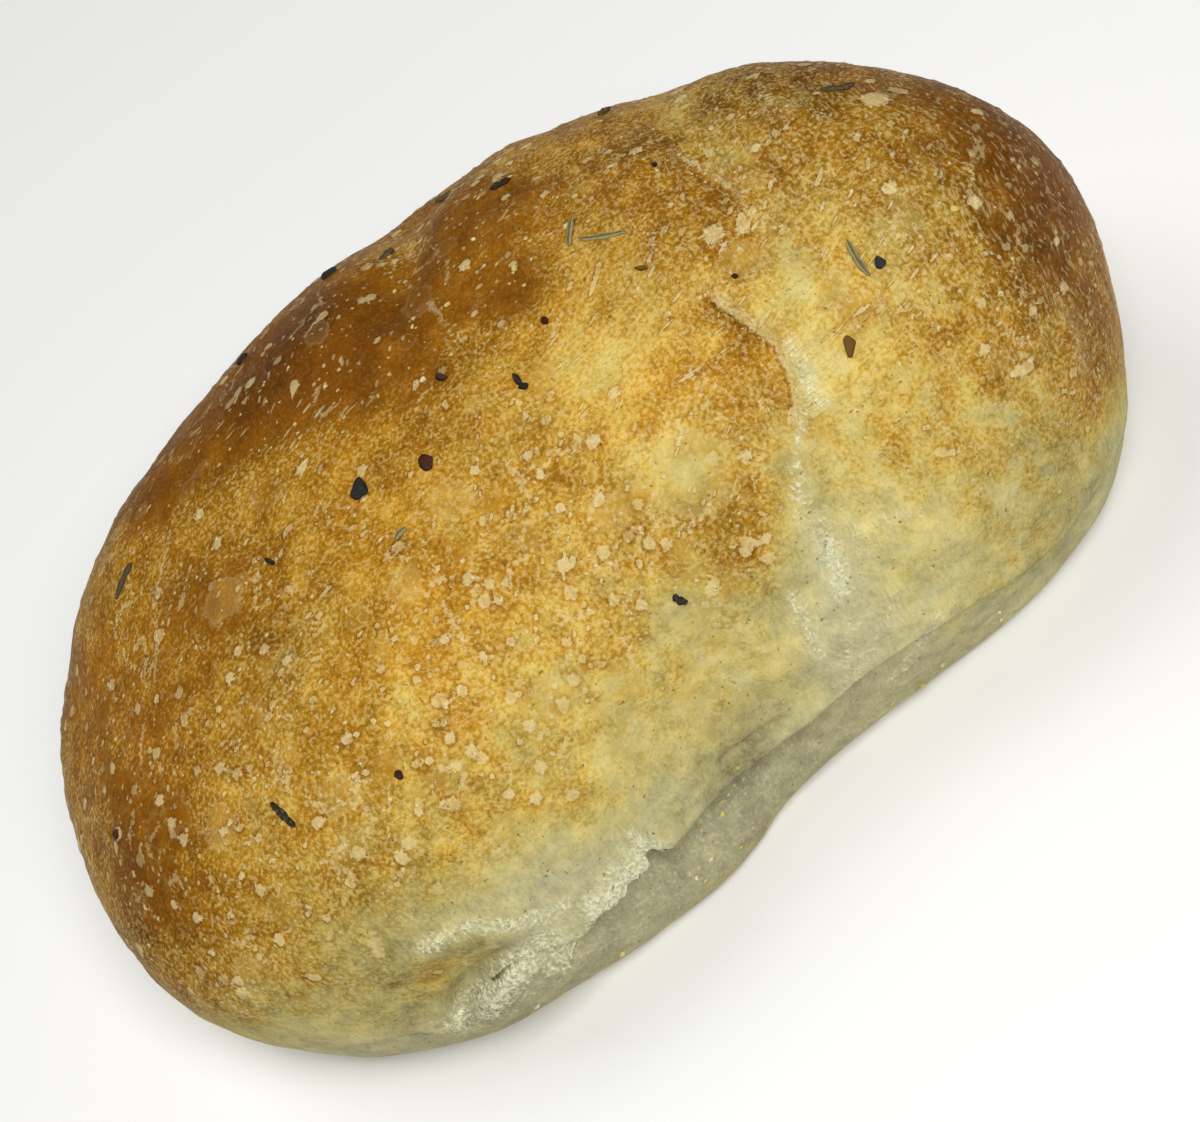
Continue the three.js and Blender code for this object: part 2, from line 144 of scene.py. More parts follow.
def closed_stations(bearings: Array, stations: Array) -> Array:
    """Joins stations round the loaf by smooth cubic curves that close on themselves.

    Between two stations the value is the cubic Hermite curve whose slope at each of them is the
    slope from its neighbour on one side to its neighbour on the other.

    Args:
        bearings: Where the values are wanted, in radians.
        stations: Rows of a bearing in degrees and its values, in rising order of bearing.

    Returns:
        One row of values for each bearing.
    """
    degrees = np.degrees(bearings) % FULL_DEGREES
    before, after = stations[-2:].copy(), stations[:3].copy()
    before[:, 0] -= FULL_DEGREES
    after[:, 0] += FULL_DEGREES
    ring = np.concatenate([before, stations, after])
    at, values = ring[:, 0], ring[:, 1:]
    k = np.searchsorted(at, degrees, side="right") - 1
    span = (at[k + 1] - at[k])[..., None]
    t = (degrees - at[k])[..., None] / span
    slope_in = (values[k + 1] - values[k - 1]) / (at[k + 1] - at[k - 1])[..., None] * span
    slope_out = (values[k + 2] - values[k]) / (at[k + 2] - at[k])[..., None] * span
    return (
        (2 * t**3 - 3 * t**2 + 1) * values[k]
        + (t**3 - 2 * t**2 + t) * slope_in
        + (3 * t**2 - 2 * t**3) * values[k + 1]
        + (t**3 - t**2) * slope_out
    )


def layered_noise(points: Array, layers: tuple[Span, ...], seed: int) -> Array:
    """Adds up lattice noise in several cell sizes, each with its own amount and the next seed."""
    return sum(amount * lattice_noise(points, cell, seed + k) for k, (cell, amount) in enumerate(layers))


def make_piece(
    name: str, points: Array, faces: list[Array], masks: dict[str, Array], rounded: bool = True
) -> bpy.types.Object:
    """Makes a mesh piece at the origin.

    Args:
        name: The piece's name.
        points: Its vertices in millimetres.
        faces: Arrays of faces, each with its own number of corners.
        masks: Values to keep on the vertices, by name.
        rounded: Whether its faces are shaded as one smooth skin.

    Returns:
        The new object.
    """
    mesh = bpy.data.meshes.new(name)
    mesh.from_pydata((points * MM).tolist(), [], list(itertools.chain(*(part.tolist() for part in faces))))
    mesh.polygons.foreach_set("use_smooth", np.full(len(mesh.polygons), rounded))
    for mask, values in masks.items():
        layer = mesh.attributes.new(mask, "FLOAT", "POINT")
        layer.data.foreach_set("value", values.astype(np.float32))
    mesh.update()
    piece = bpy.data.objects.new(name, mesh)
    bpy.context.scene.collection.objects.link(piece)
    return piece


# ---- The form of the loaf


@dataclass(frozen=True)
class Lump:
    """A broad swelling that falls off as a bell curve, or a dent where its height is below zero."""

    centre: Point
    radii: Point
    height: float

    def raised(self, points: Array) -> Array:
        """Gives how far the lump raises each point."""
        away = (points - np.array(self.centre)) / np.array(self.radii)
        return self.height * bell(np.linalg.norm(away, axis=-1))


@dataclass(frozen=True)
class Crease:
    """A crease along a path, or a ridge where its depth is below zero.

    A step is how far the crust to the left of the path stands above the crust to its right.
    """

    path: Path
    half_width: float
    depth: float
    step: float = 0.0
    end_share: float = 0.2
    step_reach: float = 3.5
    start_shown: float = 0.15
    end_shown: float = 0.75
    shown_reach: float = 5.0

    def near(self, points: Array, normals: Array) -> tuple[Array, Array, Array]:
        """Finds the nearest place on the path.

        Args:
            points: Places on the crust.
            normals: Outward normals there.

        Returns:
            The distance to the path, the share of the path gone by there, and 1 or -1 for its side.
        """
        knots = np.array(self.path)
        distance = np.full(len(points), np.inf)
        share = np.zeros(len(points))
        side = np.ones(len(points))
        for k, (start, end) in enumerate(zip(knots[:-1], knots[1:])):
            run = end - start
            t = np.clip((points - start) @ run / (run @ run), 0, 1)
            away = points - start - t[:, None] * run
            length = np.linalg.norm(away, axis=1)
            closer = length < distance
            distance = np.where(closer, length, distance)
            share = np.where(closer, (k + t) / (len(knots) - 1), share)
            turned = np.sign(np.sum(np.cross(normals, run) * away, axis=1))
            side = np.where(closer, turned, side)
        return distance, share, side

    def raised(self, points: Array, normals: Array) -> Array:
        """Gives how far the crease raises each point, fading out towards both its ends."""
        distance, share, side = self.near(points, normals)
        fade = smooth(0, self.end_share, share) * (1 - smooth(1 - self.end_share, 1, share))
        offset = distance / self.half_width
        stepped = self.step / 2 * side * np.minimum(offset, 1) * bell(offset / self.step_reach)
        return fade * (stepped - self.depth * bell(offset))

    def beside(self, points: Array, normals: Array) -> tuple[Array, Array]:
        """Gives how far each point is to the left of the path, and how plain the crease is there."""
        distance, share, side = self.near(points, normals)
        fade = smooth(0, self.start_shown, share) * (1 - smooth(self.end_shown, 1, share))
        return distance * side, fade * bell(distance / self.shown_reach)


@dataclass(frozen=True)
class Streak:
    """A streak of colour along a path, which fades to both sides as a bell curve."""

    path: Path
    half_width: float
    amount: float

    def at(self, points: Array, normals: Array) -> Array:
        """Gives how strong the streak is at each point."""
        distance, _, _ = Crease(self.path, self.half_width, 0.0).near(points, normals)
        return self.amount * bell(distance / self.half_width)


@dataclass(frozen=True)
class Wave:
    """A slow unevenness made of sine waves that run in seven directions through the loaf."""

    length: float
    height: float
    phase: float
    directions: int = 7
    golden_angle: float = 2.39996
    lengthening: float = 0.13

    def raised(self, points: Array) -> Array:
        """Gives how far the waves raise each point."""
        total = np.zeros(len(points))
        for k in range(self.directions):
            up = 1 - (2 * k + 1) / self.directions
            flat = np.sqrt(1 - up * up)
            turn = self.golden_angle * k + self.phase
            run = points @ np.array([flat * np.cos(turn), flat * np.sin(turn), up])
            length = self.length * (1 + self.lengthening * k)
            total += np.sin(run * FULL_TURN / length + self.phase * (k + 1))
        return self.height * total / np.sqrt(self.directions)


@dataclass(frozen=True)
class LoafBody:
    """The smooth body of the loaf: a superellipse in plan and in section, higher towards +X."""

    half_length: float = 66.0
    half_width: float = 41.5
    squareness: float = 2.25
    cos3: float = 0.034
    sin3: float = -0.066
    cos4: float = -0.016
    sin4: float = -0.026
    crown_height: float = 51.0
    widest_height: float = 20.0
    fullness: float = 2.4
    base_share: float = 0.86
    rise: Point = (0.136, 0.087, 0.225)
    small_step: float = 1e-3
    rim_margin: float = 0.5
    widest_share: float = 0.999

    def plan_radius(self, bearing: Array) -> Array:
        """Gives the distance from the middle to the widest line: a superellipse with low lobes."""
        along = np.abs(np.cos(bearing) / self.half_length) ** self.squareness
        across = np.abs(np.sin(bearing) / self.half_width) ** self.squareness
        lobed = self.cos3 * np.cos(3 * bearing) + self.sin3 * np.sin(3 * bearing)
        lobed += self.cos4 * np.cos(4 * bearing) + self.sin4 * np.sin(4 * bearing)
        return (along + across) ** (-1 / self.squareness) * (1 + lobed)

    def placed(self, bearing: Array, share: Array, height: Array) -> Array:
        """Gives points at a share of the plan radius and a height, lifted where the dome rises."""
        radius = self.plan_radius(bearing) * share
        x = radius * np.cos(bearing)
        end = x / self.half_length
        lift = self.rise[0] * end + self.rise[1] * end**2 + self.rise[2] * end**3
        z = height * (1 + height / self.crown_height * lift)
        return np.stack([x, radius * np.sin(bearing), z], axis=-1)

    def dome_height(self, fall: Array) -> Array:
        """Gives the dome's height at a fall, which is 0 at the crown and 1 on the widest line."""
        share = np.maximum(np.sin((1 - fall) * np.pi / 2), 0) ** (2 / self.fullness)
        return self.widest_height + (self.crown_height - self.widest_height) * share

    def dome(self, bearing: Array, fall: Array) -> Array:
        """Gives the dome, a quarter of a superellipse from the crown to the widest line."""
        share = np.maximum(np.cos((1 - fall) * np.pi / 2), 0) ** (2 / self.fullness)
        return self.placed(bearing, share, self.dome_height(fall))

    def flank(self, bearing: Array, height: Array) -> Array:
        """Gives the flank below the widest line, a quarter of an ellipse that ends on the base."""
        sunk = (self.widest_height - height) / self.widest_height
        share = 1 - (1 - self.base_share) * (1 - np.sqrt(np.maximum(1 - sunk * sunk, 0)))
        return self.placed(bearing, share, height)

    def dome_normal(self, bearing: Array, fall: Array) -> Array:
        """Gives the dome's outward normal, from small steps round it and down it."""
        small = self.small_step
        fall = np.clip(fall, small, 1 - small)
        round_it = self.dome(bearing + small, fall) - self.dome(bearing - small, fall)
        down_it = self.dome(bearing, fall + small) - self.dome(bearing, fall - small)
        return unit(np.cross(down_it, round_it))

    def flank_normal(self, bearing: Array, height: Array) -> Array:
        """Gives the flank's outward normal, from small steps round it and down it."""
        small = self.small_step
        height = np.clip(height, self.rim_margin, self.widest_height - self.rim_margin)
        round_it = self.flank(bearing + small, height) - self.flank(bearing - small, height)
        down_it = self.flank(bearing, height - small) - self.flank(bearing, height + small)
        return unit(np.cross(down_it, round_it))

    def fall_at(self, x: float, y: float) -> Span:
        """Gives the bearing and the fall of the dome above a place in plan."""
        bearing = float(np.arctan2(y, x))
        share = min(np.hypot(x, y) / float(self.plan_radius(np.array(bearing))), self.widest_share)
        return bearing, float(1 - np.arccos(share ** (self.fullness / 2)) / (np.pi / 2))


@dataclass(frozen=True)
class Seam:
    """The seam round the loaf: a lip of crust above, and a base roll that's cut in under it.

    A station is a bearing in degrees, the height of the lip, how far the lip hangs over the base
    roll, and how far the roll's foot stands out. Below zero it's the other way round. The teeth are
    sine waves, each with its height, its pace and its phase.
    """

    stations: tuple[tuple[float, float, float, float], ...] = (
        (0, 9, 0.5, 0), (45, 9, 0.4, 0), (72, 10, 0.8, 0), (92, 11, 1.8, 0.3), (108, 10, 1.2, 0),
        (130, 9, 0.4, 0), (152, 10, 0.8, 0), (180, 10, 0.4, 0), (205, 13, 0.3, 0), (220, 15.5, 0.3, 0),
        (228, 13.5, -0.4, -0.4), (231.5, 16.5, -1, -0.7), (235.5, 18.8, -1.2, -0.9),
        (239, 19.2, -0.3, -0.8), (241.5, 18.2, 1.2, -0.6), (244, 17.6, 2.6, -0.3), (247, 18.3, 3.4, 0.1),
        (251, 18.3, 3.8, 0.6), (255, 17.8, 4, 1.2), (258, 16.8, 4, 1.6), (261.5, 15.9, 3.6, 1.9),
        (265, 16, 3, 2), (270, 15.8, 2.3, 1.8), (275, 15, 1.9, 1.1), (280, 14.2, 1.6, 0.6),
        (287, 14.6, 1.3, 0), (298, 16.2, 1, -1), (304, 16.3, 0.8, -1.3), (310, 14.8, 0.7, -1.3),
        (318, 11.5, 1, -0.7), (325, 11, 0.6, -0.2), (342, 9.5, 0.4, 0),
    )
    flare: float = 4.0
    base_return: float = 6.0
    lip_share: float = 0.35
    torn_from: float = 244.0
    torn_to: float = 260.0
    torn_fade: float = 3.0
    tooth: float = 0.9
    teeth: tuple[Point, ...] = ((0.5, 1.3, 1), (0.3, 2.9, 0), (0.25, 5.3, 2))
    notch_at: float = 256.2
    notch_half_width: float = 1.1
    notch_rise: float = 2.8

    def torn(self, bearing: Array) -> Array:
        """Gives 1 along the torn stretch of the lip, and 0 away from it."""
        degrees = np.degrees(bearing) % FULL_DEGREES
        start = smooth(self.torn_from, self.torn_from + self.torn_fade, degrees)
        return start * (1 - smooth(self.torn_to - self.torn_fade, self.torn_to, degrees))

    def on(self, bearing: Array, highest: float) -> tuple[Array, Array, Array]:
        """Gives the seam on each bearing.

        Args:
            bearing: Where, in radians.
            highest: What the lip's height is kept under.

        Returns:
            The lip's height with its torn teeth and notch, its overhang, and the foot's stand-out.
        """
        seam = closed_stations(bearing, np.array(self.stations, float))
        lip, overhang, foot = np.moveaxis(seam, -1, 0)
        degrees = np.degrees(bearing) % FULL_DEGREES
        teeth = sum(height * np.sin(pace * degrees + phase) for height, pace, phase in self.teeth)
        notch = self.notch_rise * bell((degrees - self.notch_at) / self.notch_half_width)
        ragged = lip + self.tooth * self.torn(bearing) * teeth + notch
        return np.minimum(ragged, highest), overhang, foot


@dataclass(frozen=True)
class Relief:
    """The swellings, dents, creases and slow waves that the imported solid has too."""

    lumps: tuple[Lump, ...] = (
        Lump((-28, -42, 12.5), (7, 8, 4.5), 1.8),  # white fold
        Lump((-34, -41, 21), (7, 9, 5), -1.5),  # hollow over the fold
        Lump((16.5, -27, 46), (6, 6, 5), 0.7),  # pale bubble
        Lump((-30, -1.5, 45.7), (4, 4, 4), 0.5),  # left bubble
        Lump((43, -34, 37.5), (5, 5, 6), -0.9),  # head dent
        Lump((41.5, -37, 27), (5, 6, 4), -0.7),  # low head dent
        Lump((65, -21, 12), (11, 11, 11), -1.7),  # waist of the head
        Lump((67, -12, 36), (11, 11, 11), 0.6),  # cheek of the head
        Lump((59, 6, 45), (11, 11, 11), -0.4),  # brow of the head
        Lump((24, 31, 42), (11, 11, 11), 0.5),  # far shoulder
        Lump((9, 37, 40), (11, 11, 11), -1.2),  # far hollow
        Lump((-22, 31, 40), (26, 11, 11), -0.8),  # far flat
        Lump((-63, -10, 22), (11, 11, 11), -0.4),  # heel
        Lump((-54, -30, 13), (11, 11, 11), -0.5),  # near heel
        Lump((-14, 40, 24), (11, 8, 8), -1.1),  # back dent
        Lump((24, 40, 24), (13, 9, 9), 0.8),  # back swelling
    )
    groove: Crease = Crease(
        (
            (40, 30, 40), (39.5, 16, 49), (38.4, -8, 54), (38, -18, 52.5), (32, -25, 49.2),
            (27, -30, 44.5), (23.7, -34.5, 38), (22, -37, 29), (18.5, -37.4, 17),
        ),
        half_width=6, depth=1.7,
    )
    overlap: Crease = Crease(
        (
            (26.5, -10, 53.5), (28.7, -16.6, 52.4), (30.3, -22, 50.6), (30, -26, 48.4), (28.4, -29, 46),
            (26.4, -31, 43.5),
        ),
        half_width=1.3, depth=0.7, step=0.9,
    )
    far_valley: Crease = Crease(
        ((13, 36, 38), (10, 28.6, 46), (7, 21.5, 49), (4, 15, 50.3), (1, 8, 51)),
        half_width=5, depth=1.9,
    )
    head_ridge: Crease = Crease(((24, -36.3, 33.7), (31.7, -37.5, 29.8), (39, -37.5, 23)), 2.6, -0.9)
    short_ridge: Crease = Crease(((12, -35.5, 33), (11.7, -36.3, 29), (11, -37, 23)), 1.8, -0.7)
    fold_crease: Crease = Crease(
        ((-31, -41.5, 20), (-34, -41, 17), (-35.5, -40.5, 14), (-35, -39.5, 10)), half_width=1.6, depth=1.5
    )
    second_lip: Crease = Crease(
        ((0, -38, 19.5), (4, -37.3, 18.2), (8, -37, 17.6), (11, -36.8, 16.6)),
        half_width=1, depth=0.8, step=0.5,
    )
    hollow_rim: Crease = Crease(
        ((-40, -38.5, 26), (-34, -40, 27), (-27, -41.5, 25), (-22, -42, 21)), half_width=1.8, depth=-0.7
    )
    waves: tuple[Wave, ...] = (Wave(27, 0.35, 1.7), Wave(10, 0.14, 4.2))

    @property
    def creases(self) -> tuple[Crease, ...]:
        """Gives every crease and ridge."""
        high = (self.groove, self.overlap, self.far_valley, self.head_ridge, self.short_ridge)
        return (*high, self.fold_crease, self.second_lip, self.hollow_rim)

    def raised(self, points: Array, normals: Array) -> Array:
        """Gives how far the relief raises each point, as the sum of all its forms."""
        total = sum(lump.raised(points) for lump in self.lumps)
        total += sum(crease.raised(points, normals) for crease in self.creases)
        return total + sum(wave.raised(points) for wave in self.waves)


@dataclass(frozen=True)
class Skin:
    """The fine relief of the baked skin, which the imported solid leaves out."""

    overlap: Crease = Crease(
        (
            (28.5, -13.8, 52.5), (28.8, -15.5, 51.4), (29.7, -18.4, 50.2), (30.4, -20.3, 49.0),
            (30.9, -22.0, 47.9), (30.4, -23.8, 46.5), (29.3, -25.6, 45.1), (28.0, -27.2, 43.6),
            (26.0, -29.4, 42.0),
        ),
        half_width=0.7, depth=0.4, step=0.9,
    )
    fold_crease: Crease = Crease(
        ((-37.1, -39.8, 9), (-35, -40.3, 15.5), (-31.5, -41.3, 19.8), (-26, -42.4, 22)), 1.1, 0.6
    )
    fold_ridge: Crease = Crease(
        ((-35, -39.8, 11), (-32.6, -40.8, 15.1), (-28.2, -41.9, 18), (-23.6, -42.8, 18.6)), 1.9, -0.5
    )
    lumpiness: tuple[Span, ...] = ((6.0, 0.16), (2.8, 0.10), (1.3, 0.05))
    lump_seed: int = 11
    girth: float = 45.0
    wrinkle_width: float = 1.3
    wrinkle_length: float = 7.0
    wrinkle_height: float = 0.13
    wrinkle_slice: float = 3.3
    wrinkle_seed: int = 29
    wrinkles: Span = (21.0, 31.0)

    def raised(self, points: Array, normals: Array, bearing: Array, near_side: Array) -> Array:
        """Gives the height of the skin's own relief.

        Lattice noise of three cell sizes makes it lumpy. Low on the near side, noise that is
        narrow along the loaf and long down the flank makes stretch wrinkles. The overlap and the
        white fold are sharper than in the solid.

        Args:
            points: Places on the crust.
            normals: Outward normals there.
            bearing: Their bearings.
            near_side: 1 on the side with the torn seam, 0 on the other.

        Returns:
            One height for each point.
        """
        creases = (self.overlap, self.fold_crease, self.fold_ridge)
        total = layered_noise(points, self.lumpiness, self.lump_seed)
        total += sum(crease.raised(points, normals) for crease in creases)
        across = bearing * self.girth / self.wrinkle_width
        down = points[:, 2] / self.wrinkle_length
        stretched = np.stack([across, down, np.full(len(points), self.wrinkle_slice)], axis=1)
        low = 1 - smooth(*self.wrinkles, points[:, 2])
        wrinkled = lattice_noise(stretched, 1.0, self.wrinkle_seed)
        return total + self.wrinkle_height * low * near_side * wrinkled


@dataclass(frozen=True)
class Discs:
    """Seeded discs in the skin, with crisp and slightly ragged edges.

    A named disc is a place, a radius and a paleness.
    """

    count: int
    smallest: float
    largest: float
    rarity: float
    height: float
    pale: Span
    seed: int
    raggedness: float = 0.16
    ragged_cell: float = 0.8
    named: tuple[Spot, ...] = ()
    reach: float = 1.7

    def laid(self, points: Array, top: Array) -> tuple[Array, Array, Array]:
        """Gives the discs' height, their edges and their paleness.

        The centres are seeded picks among the points of the dome. The edge value is the distance
        from the nearest centre over its disc's radius, so that it's 1 on the edge, made ragged by
        lattice noise. The height is h(1 - e^4) of that value, with a flat top and a steep edge.

        Args:
            points: Places on the crust.
            top: Which of them lie on the dome.

        Returns:
            The height, the edge value and the paleness at each point.
        """
        draw = np.random.default_rng(self.seed)
        picked = points[draw.choice(np.flatnonzero(top), self.count, replace=False)]
        sizes = self.smallest + (self.largest - self.smallest) * draw.random(self.count) ** self.rarity
        pale = draw.uniform(*self.pale, self.count)
        own = np.array(self.named).reshape(-1, 5)
        centres = np.concatenate([picked, own[:, :3]])
        sizes = np.concatenate([sizes, own[:, 3]])
        pale = np.concatenate([pale, own[:, 4]])
        ragged = 1 + self.raggedness * lattice_noise(points, self.ragged_cell, self.seed)
        edge = np.full(len(points), self.reach)
        paleness = np.zeros(len(points))
        for centre, size, own_pale in zip(centres, sizes, pale):
            close = np.flatnonzero(np.abs(points - centre).max(axis=1) < self.reach * size)
            share = np.linalg.norm(points[close] - centre, axis=1) / size * ragged[close]
            nearer = share < edge[close]
            edge[close] = np.where(nearer, share, edge[close])
            paleness[close] = np.where(nearer, own_pale, paleness[close])
        return self.height * np.clip(1 - edge**4, 0, 1), edge, paleness


BLISTERS = Discs(
    count=1250, smallest=0.27, largest=0.85, rarity=2.2, height=0.11,
    pale=(0.35, 1.0),
    seed=7,
    named=((55.0, -6.0, 51.0, 1.5, 0.8), (33.0, -9.5, 53.0, 1.3, 0.8)),
)
FILMS = Discs(
    count=210, smallest=0.8, largest=2.4, rarity=1.8, height=0.09,
    pale=(-0.5, 0.8),
    seed=23, raggedness=0.26,
    named=((16.4, -26.9, 46.0, 4.2, 0.7), (-29.8, -1.6, 45.7, 2.7, 1.0), (8.6, -33.4, 37.0, 3.0, 0.6)),
)


@dataclass(frozen=True)
class Cracks:
    """Thin pale cracks in the skin: seeded wandering lines, and named ones that are paths."""

    count: int = 240
    steps: int = 4
    stride: Span = (0.5, 1.5)
    wander: float = 0.9
    half_width: Span = (0.15, 0.28)
    seed: int = 31
    reach: float = 4.0
    named: tuple[Path, ...] = (
        ((-9.0, -14.6, 49.2), (-9.2, -16.2, 48.9), (-9.4, -18.1, 48.5), (-9.6, -19.4, 48.3)),
        ((-12.9, -21.5, 47.5), (-10.9, -19.9, 48.2), (-9.5, -19.8, 48.1), (-8.2, -20.6, 47.8)),
        (
            (-10.8, -22.1, 47.5), (-11.1, -23.3, 47.0), (-11.4, -24.9, 46.4), (-11.4, -26.0, 45.9),
            (-11.8, -27.4, 45.1),
        ),
        ((-14.5, -18.4, 48.1), (-15.5, -19.3, 47.8), (-16.7, -20.2, 47.4), (-17.7, -21.2, 46.9)),
        ((-3.7, -18.4, 48.4), (-3.9, -19.8, 48.0), (-4.5, -21.1, 47.6)),
        ((-0.8, -21.5, 47.7), (-1.1, -22.9, 47.1), (-1.9, -23.5, 46.7)),
        ((6.2, 10.6, 50.4), (6.3, 5.9, 51.5), (6.2, 2.3, 51.4)),
        ((-8.5, 11.3, 49.7), (-9.7, 10.0, 49.5), (-10.6, 8.3, 49.4)),
        ((-10.2, 7.4, 49.5), (-10.7, 5.4, 49.6), (-11.0, 3.5, 49.5)),
        (
            (-30.2, 13.8, 44.4), (-32.1, 11.5, 44.0), (-34.6, 9.4, 43.2), (-36.6, 7.4, 42.6),
            (-38.7, 3.1, 41.9),
        ),
        ((-38.7, 3.1, 41.9), (-41.2, -0.5, 41.0)),
        ((-24.9, -2.1, 46.5), (-26.3, -4.0, 46.3), (-27.3, -6.1, 46.1)),
        ((-27.7, -15.0, 45.9), (-28.1, -17.1, 45.7), (-29.6, -17.8, 45.2)),
        ((-42.7, 8.6, 39.7), (-43.2, 4.9, 39.7), (-41.2, 0.9, 40.9), (-39.2, 2.0, 41.7)),
        ((-33.9, -13.0, 44.1), (-32.5, -16.2, 44.2), (-30.2, -19.5, 44.8)),
        ((26.5, -21.5, 49.3), (26.4, -23.7, 47.9), (26.0, -25.9, 46.1)),
        ((28.8, -15.4, 52.0), (29.6, -18.6, 50.5), (30.7, -21.3, 48.8), (31.2, -24.2, 47.3)),
        ((39.2, -5.3, 53.0), (38.4, -9.2, 52.7), (37.1, -13.4, 52.2)),
        ((35.6, 4.6, 52.9), (36.8, -0.6, 53.1), (37.8, -5.1, 53.0)),
    )

    def wandering(self, points: Array, normals: Array, top: Array) -> list[Array]:
        """Draws the seeded paths.

        Each starts at a seeded pick among the points of the dome. Every stride turns away from the
        last one by a random angle in the crust's own plane there.

        Args:
            points: Places on the crust.
            normals: Outward normals there.
            top: Which of them lie on the dome.

        Returns:
            The knots of each path.
        """
        draw = np.random.default_rng(self.seed)
        paths = []
        for start in draw.choice(np.flatnonzero(top), self.count, replace=False):
            across = unit(np.cross(normals[start], draw.normal(size=3)))
            along = np.cross(normals[start], across)
            turns = draw.uniform(0, FULL_TURN) + np.cumsum(draw.normal(0, self.wander, self.steps))
            headings = np.cos(turns)[:, None] * across + np.sin(turns)[:, None] * along
            strides = np.cumsum(headings * draw.uniform(*self.stride, self.steps)[:, None], axis=0)
            paths.append(points[start] + np.concatenate([np.zeros((1, 3)), strides]))
        return paths

    def laid(self, points: Array, normals: Array, top: Array) -> Array:
        """Gives the cracks' edges: the distance from the nearest one over its half width.

        The distance leaves out what lies along a point's own normal, so that the crust's fine
        relief doesn't count.

        Args:
            points: Places on the crust.
            normals: Outward normals there.
            top: Which of them lie on the dome.

        Returns:
            The edge value at each point, which is 1 on an edge.
        """
        draw = np.random.default_rng(self.seed + 1)
        edge = np.full(len(points), self.reach)
        for path in self.wandering(points, normals, top) + [np.array(path) for path in self.named]:
            half_width = draw.uniform(*self.half_width)
            margin = self.reach * half_width
            low, high = path.min(axis=0) - margin, path.max(axis=0) + margin
            close = np.flatnonzero(np.all((points > low) & (points < high), axis=1))
            for start, end in zip(path[:-1], path[1:]):
                run = end - start
                share = np.clip((points[close] - start) @ run / (run @ run), 0, 1)
                away = points[close] - start - share[:, None] * run
                away -= np.sum(away * normals[close], axis=1, keepdims=True) * normals[close]
                edge[close] = np.minimum(edge[close], np.linalg.norm(away, axis=1) / half_width)
        return edge


# ---- Where the crust is brown, pale or torn


@dataclass(frozen=True)
class Patch:
    """A patch that's browner than its surroundings, or paler where its amount is below zero."""

    x: float
    y: float
    z: float
    radius: float
    amount: float

    def at(self, points: Array) -> Array:
        """Gives how strong the patch is at each point: a bell curve of the distance from its middle."""
        away = np.linalg.norm(points - np.array([self.x, self.y, self.z]), axis=1)
        return self.amount * bell(away / self.radius)


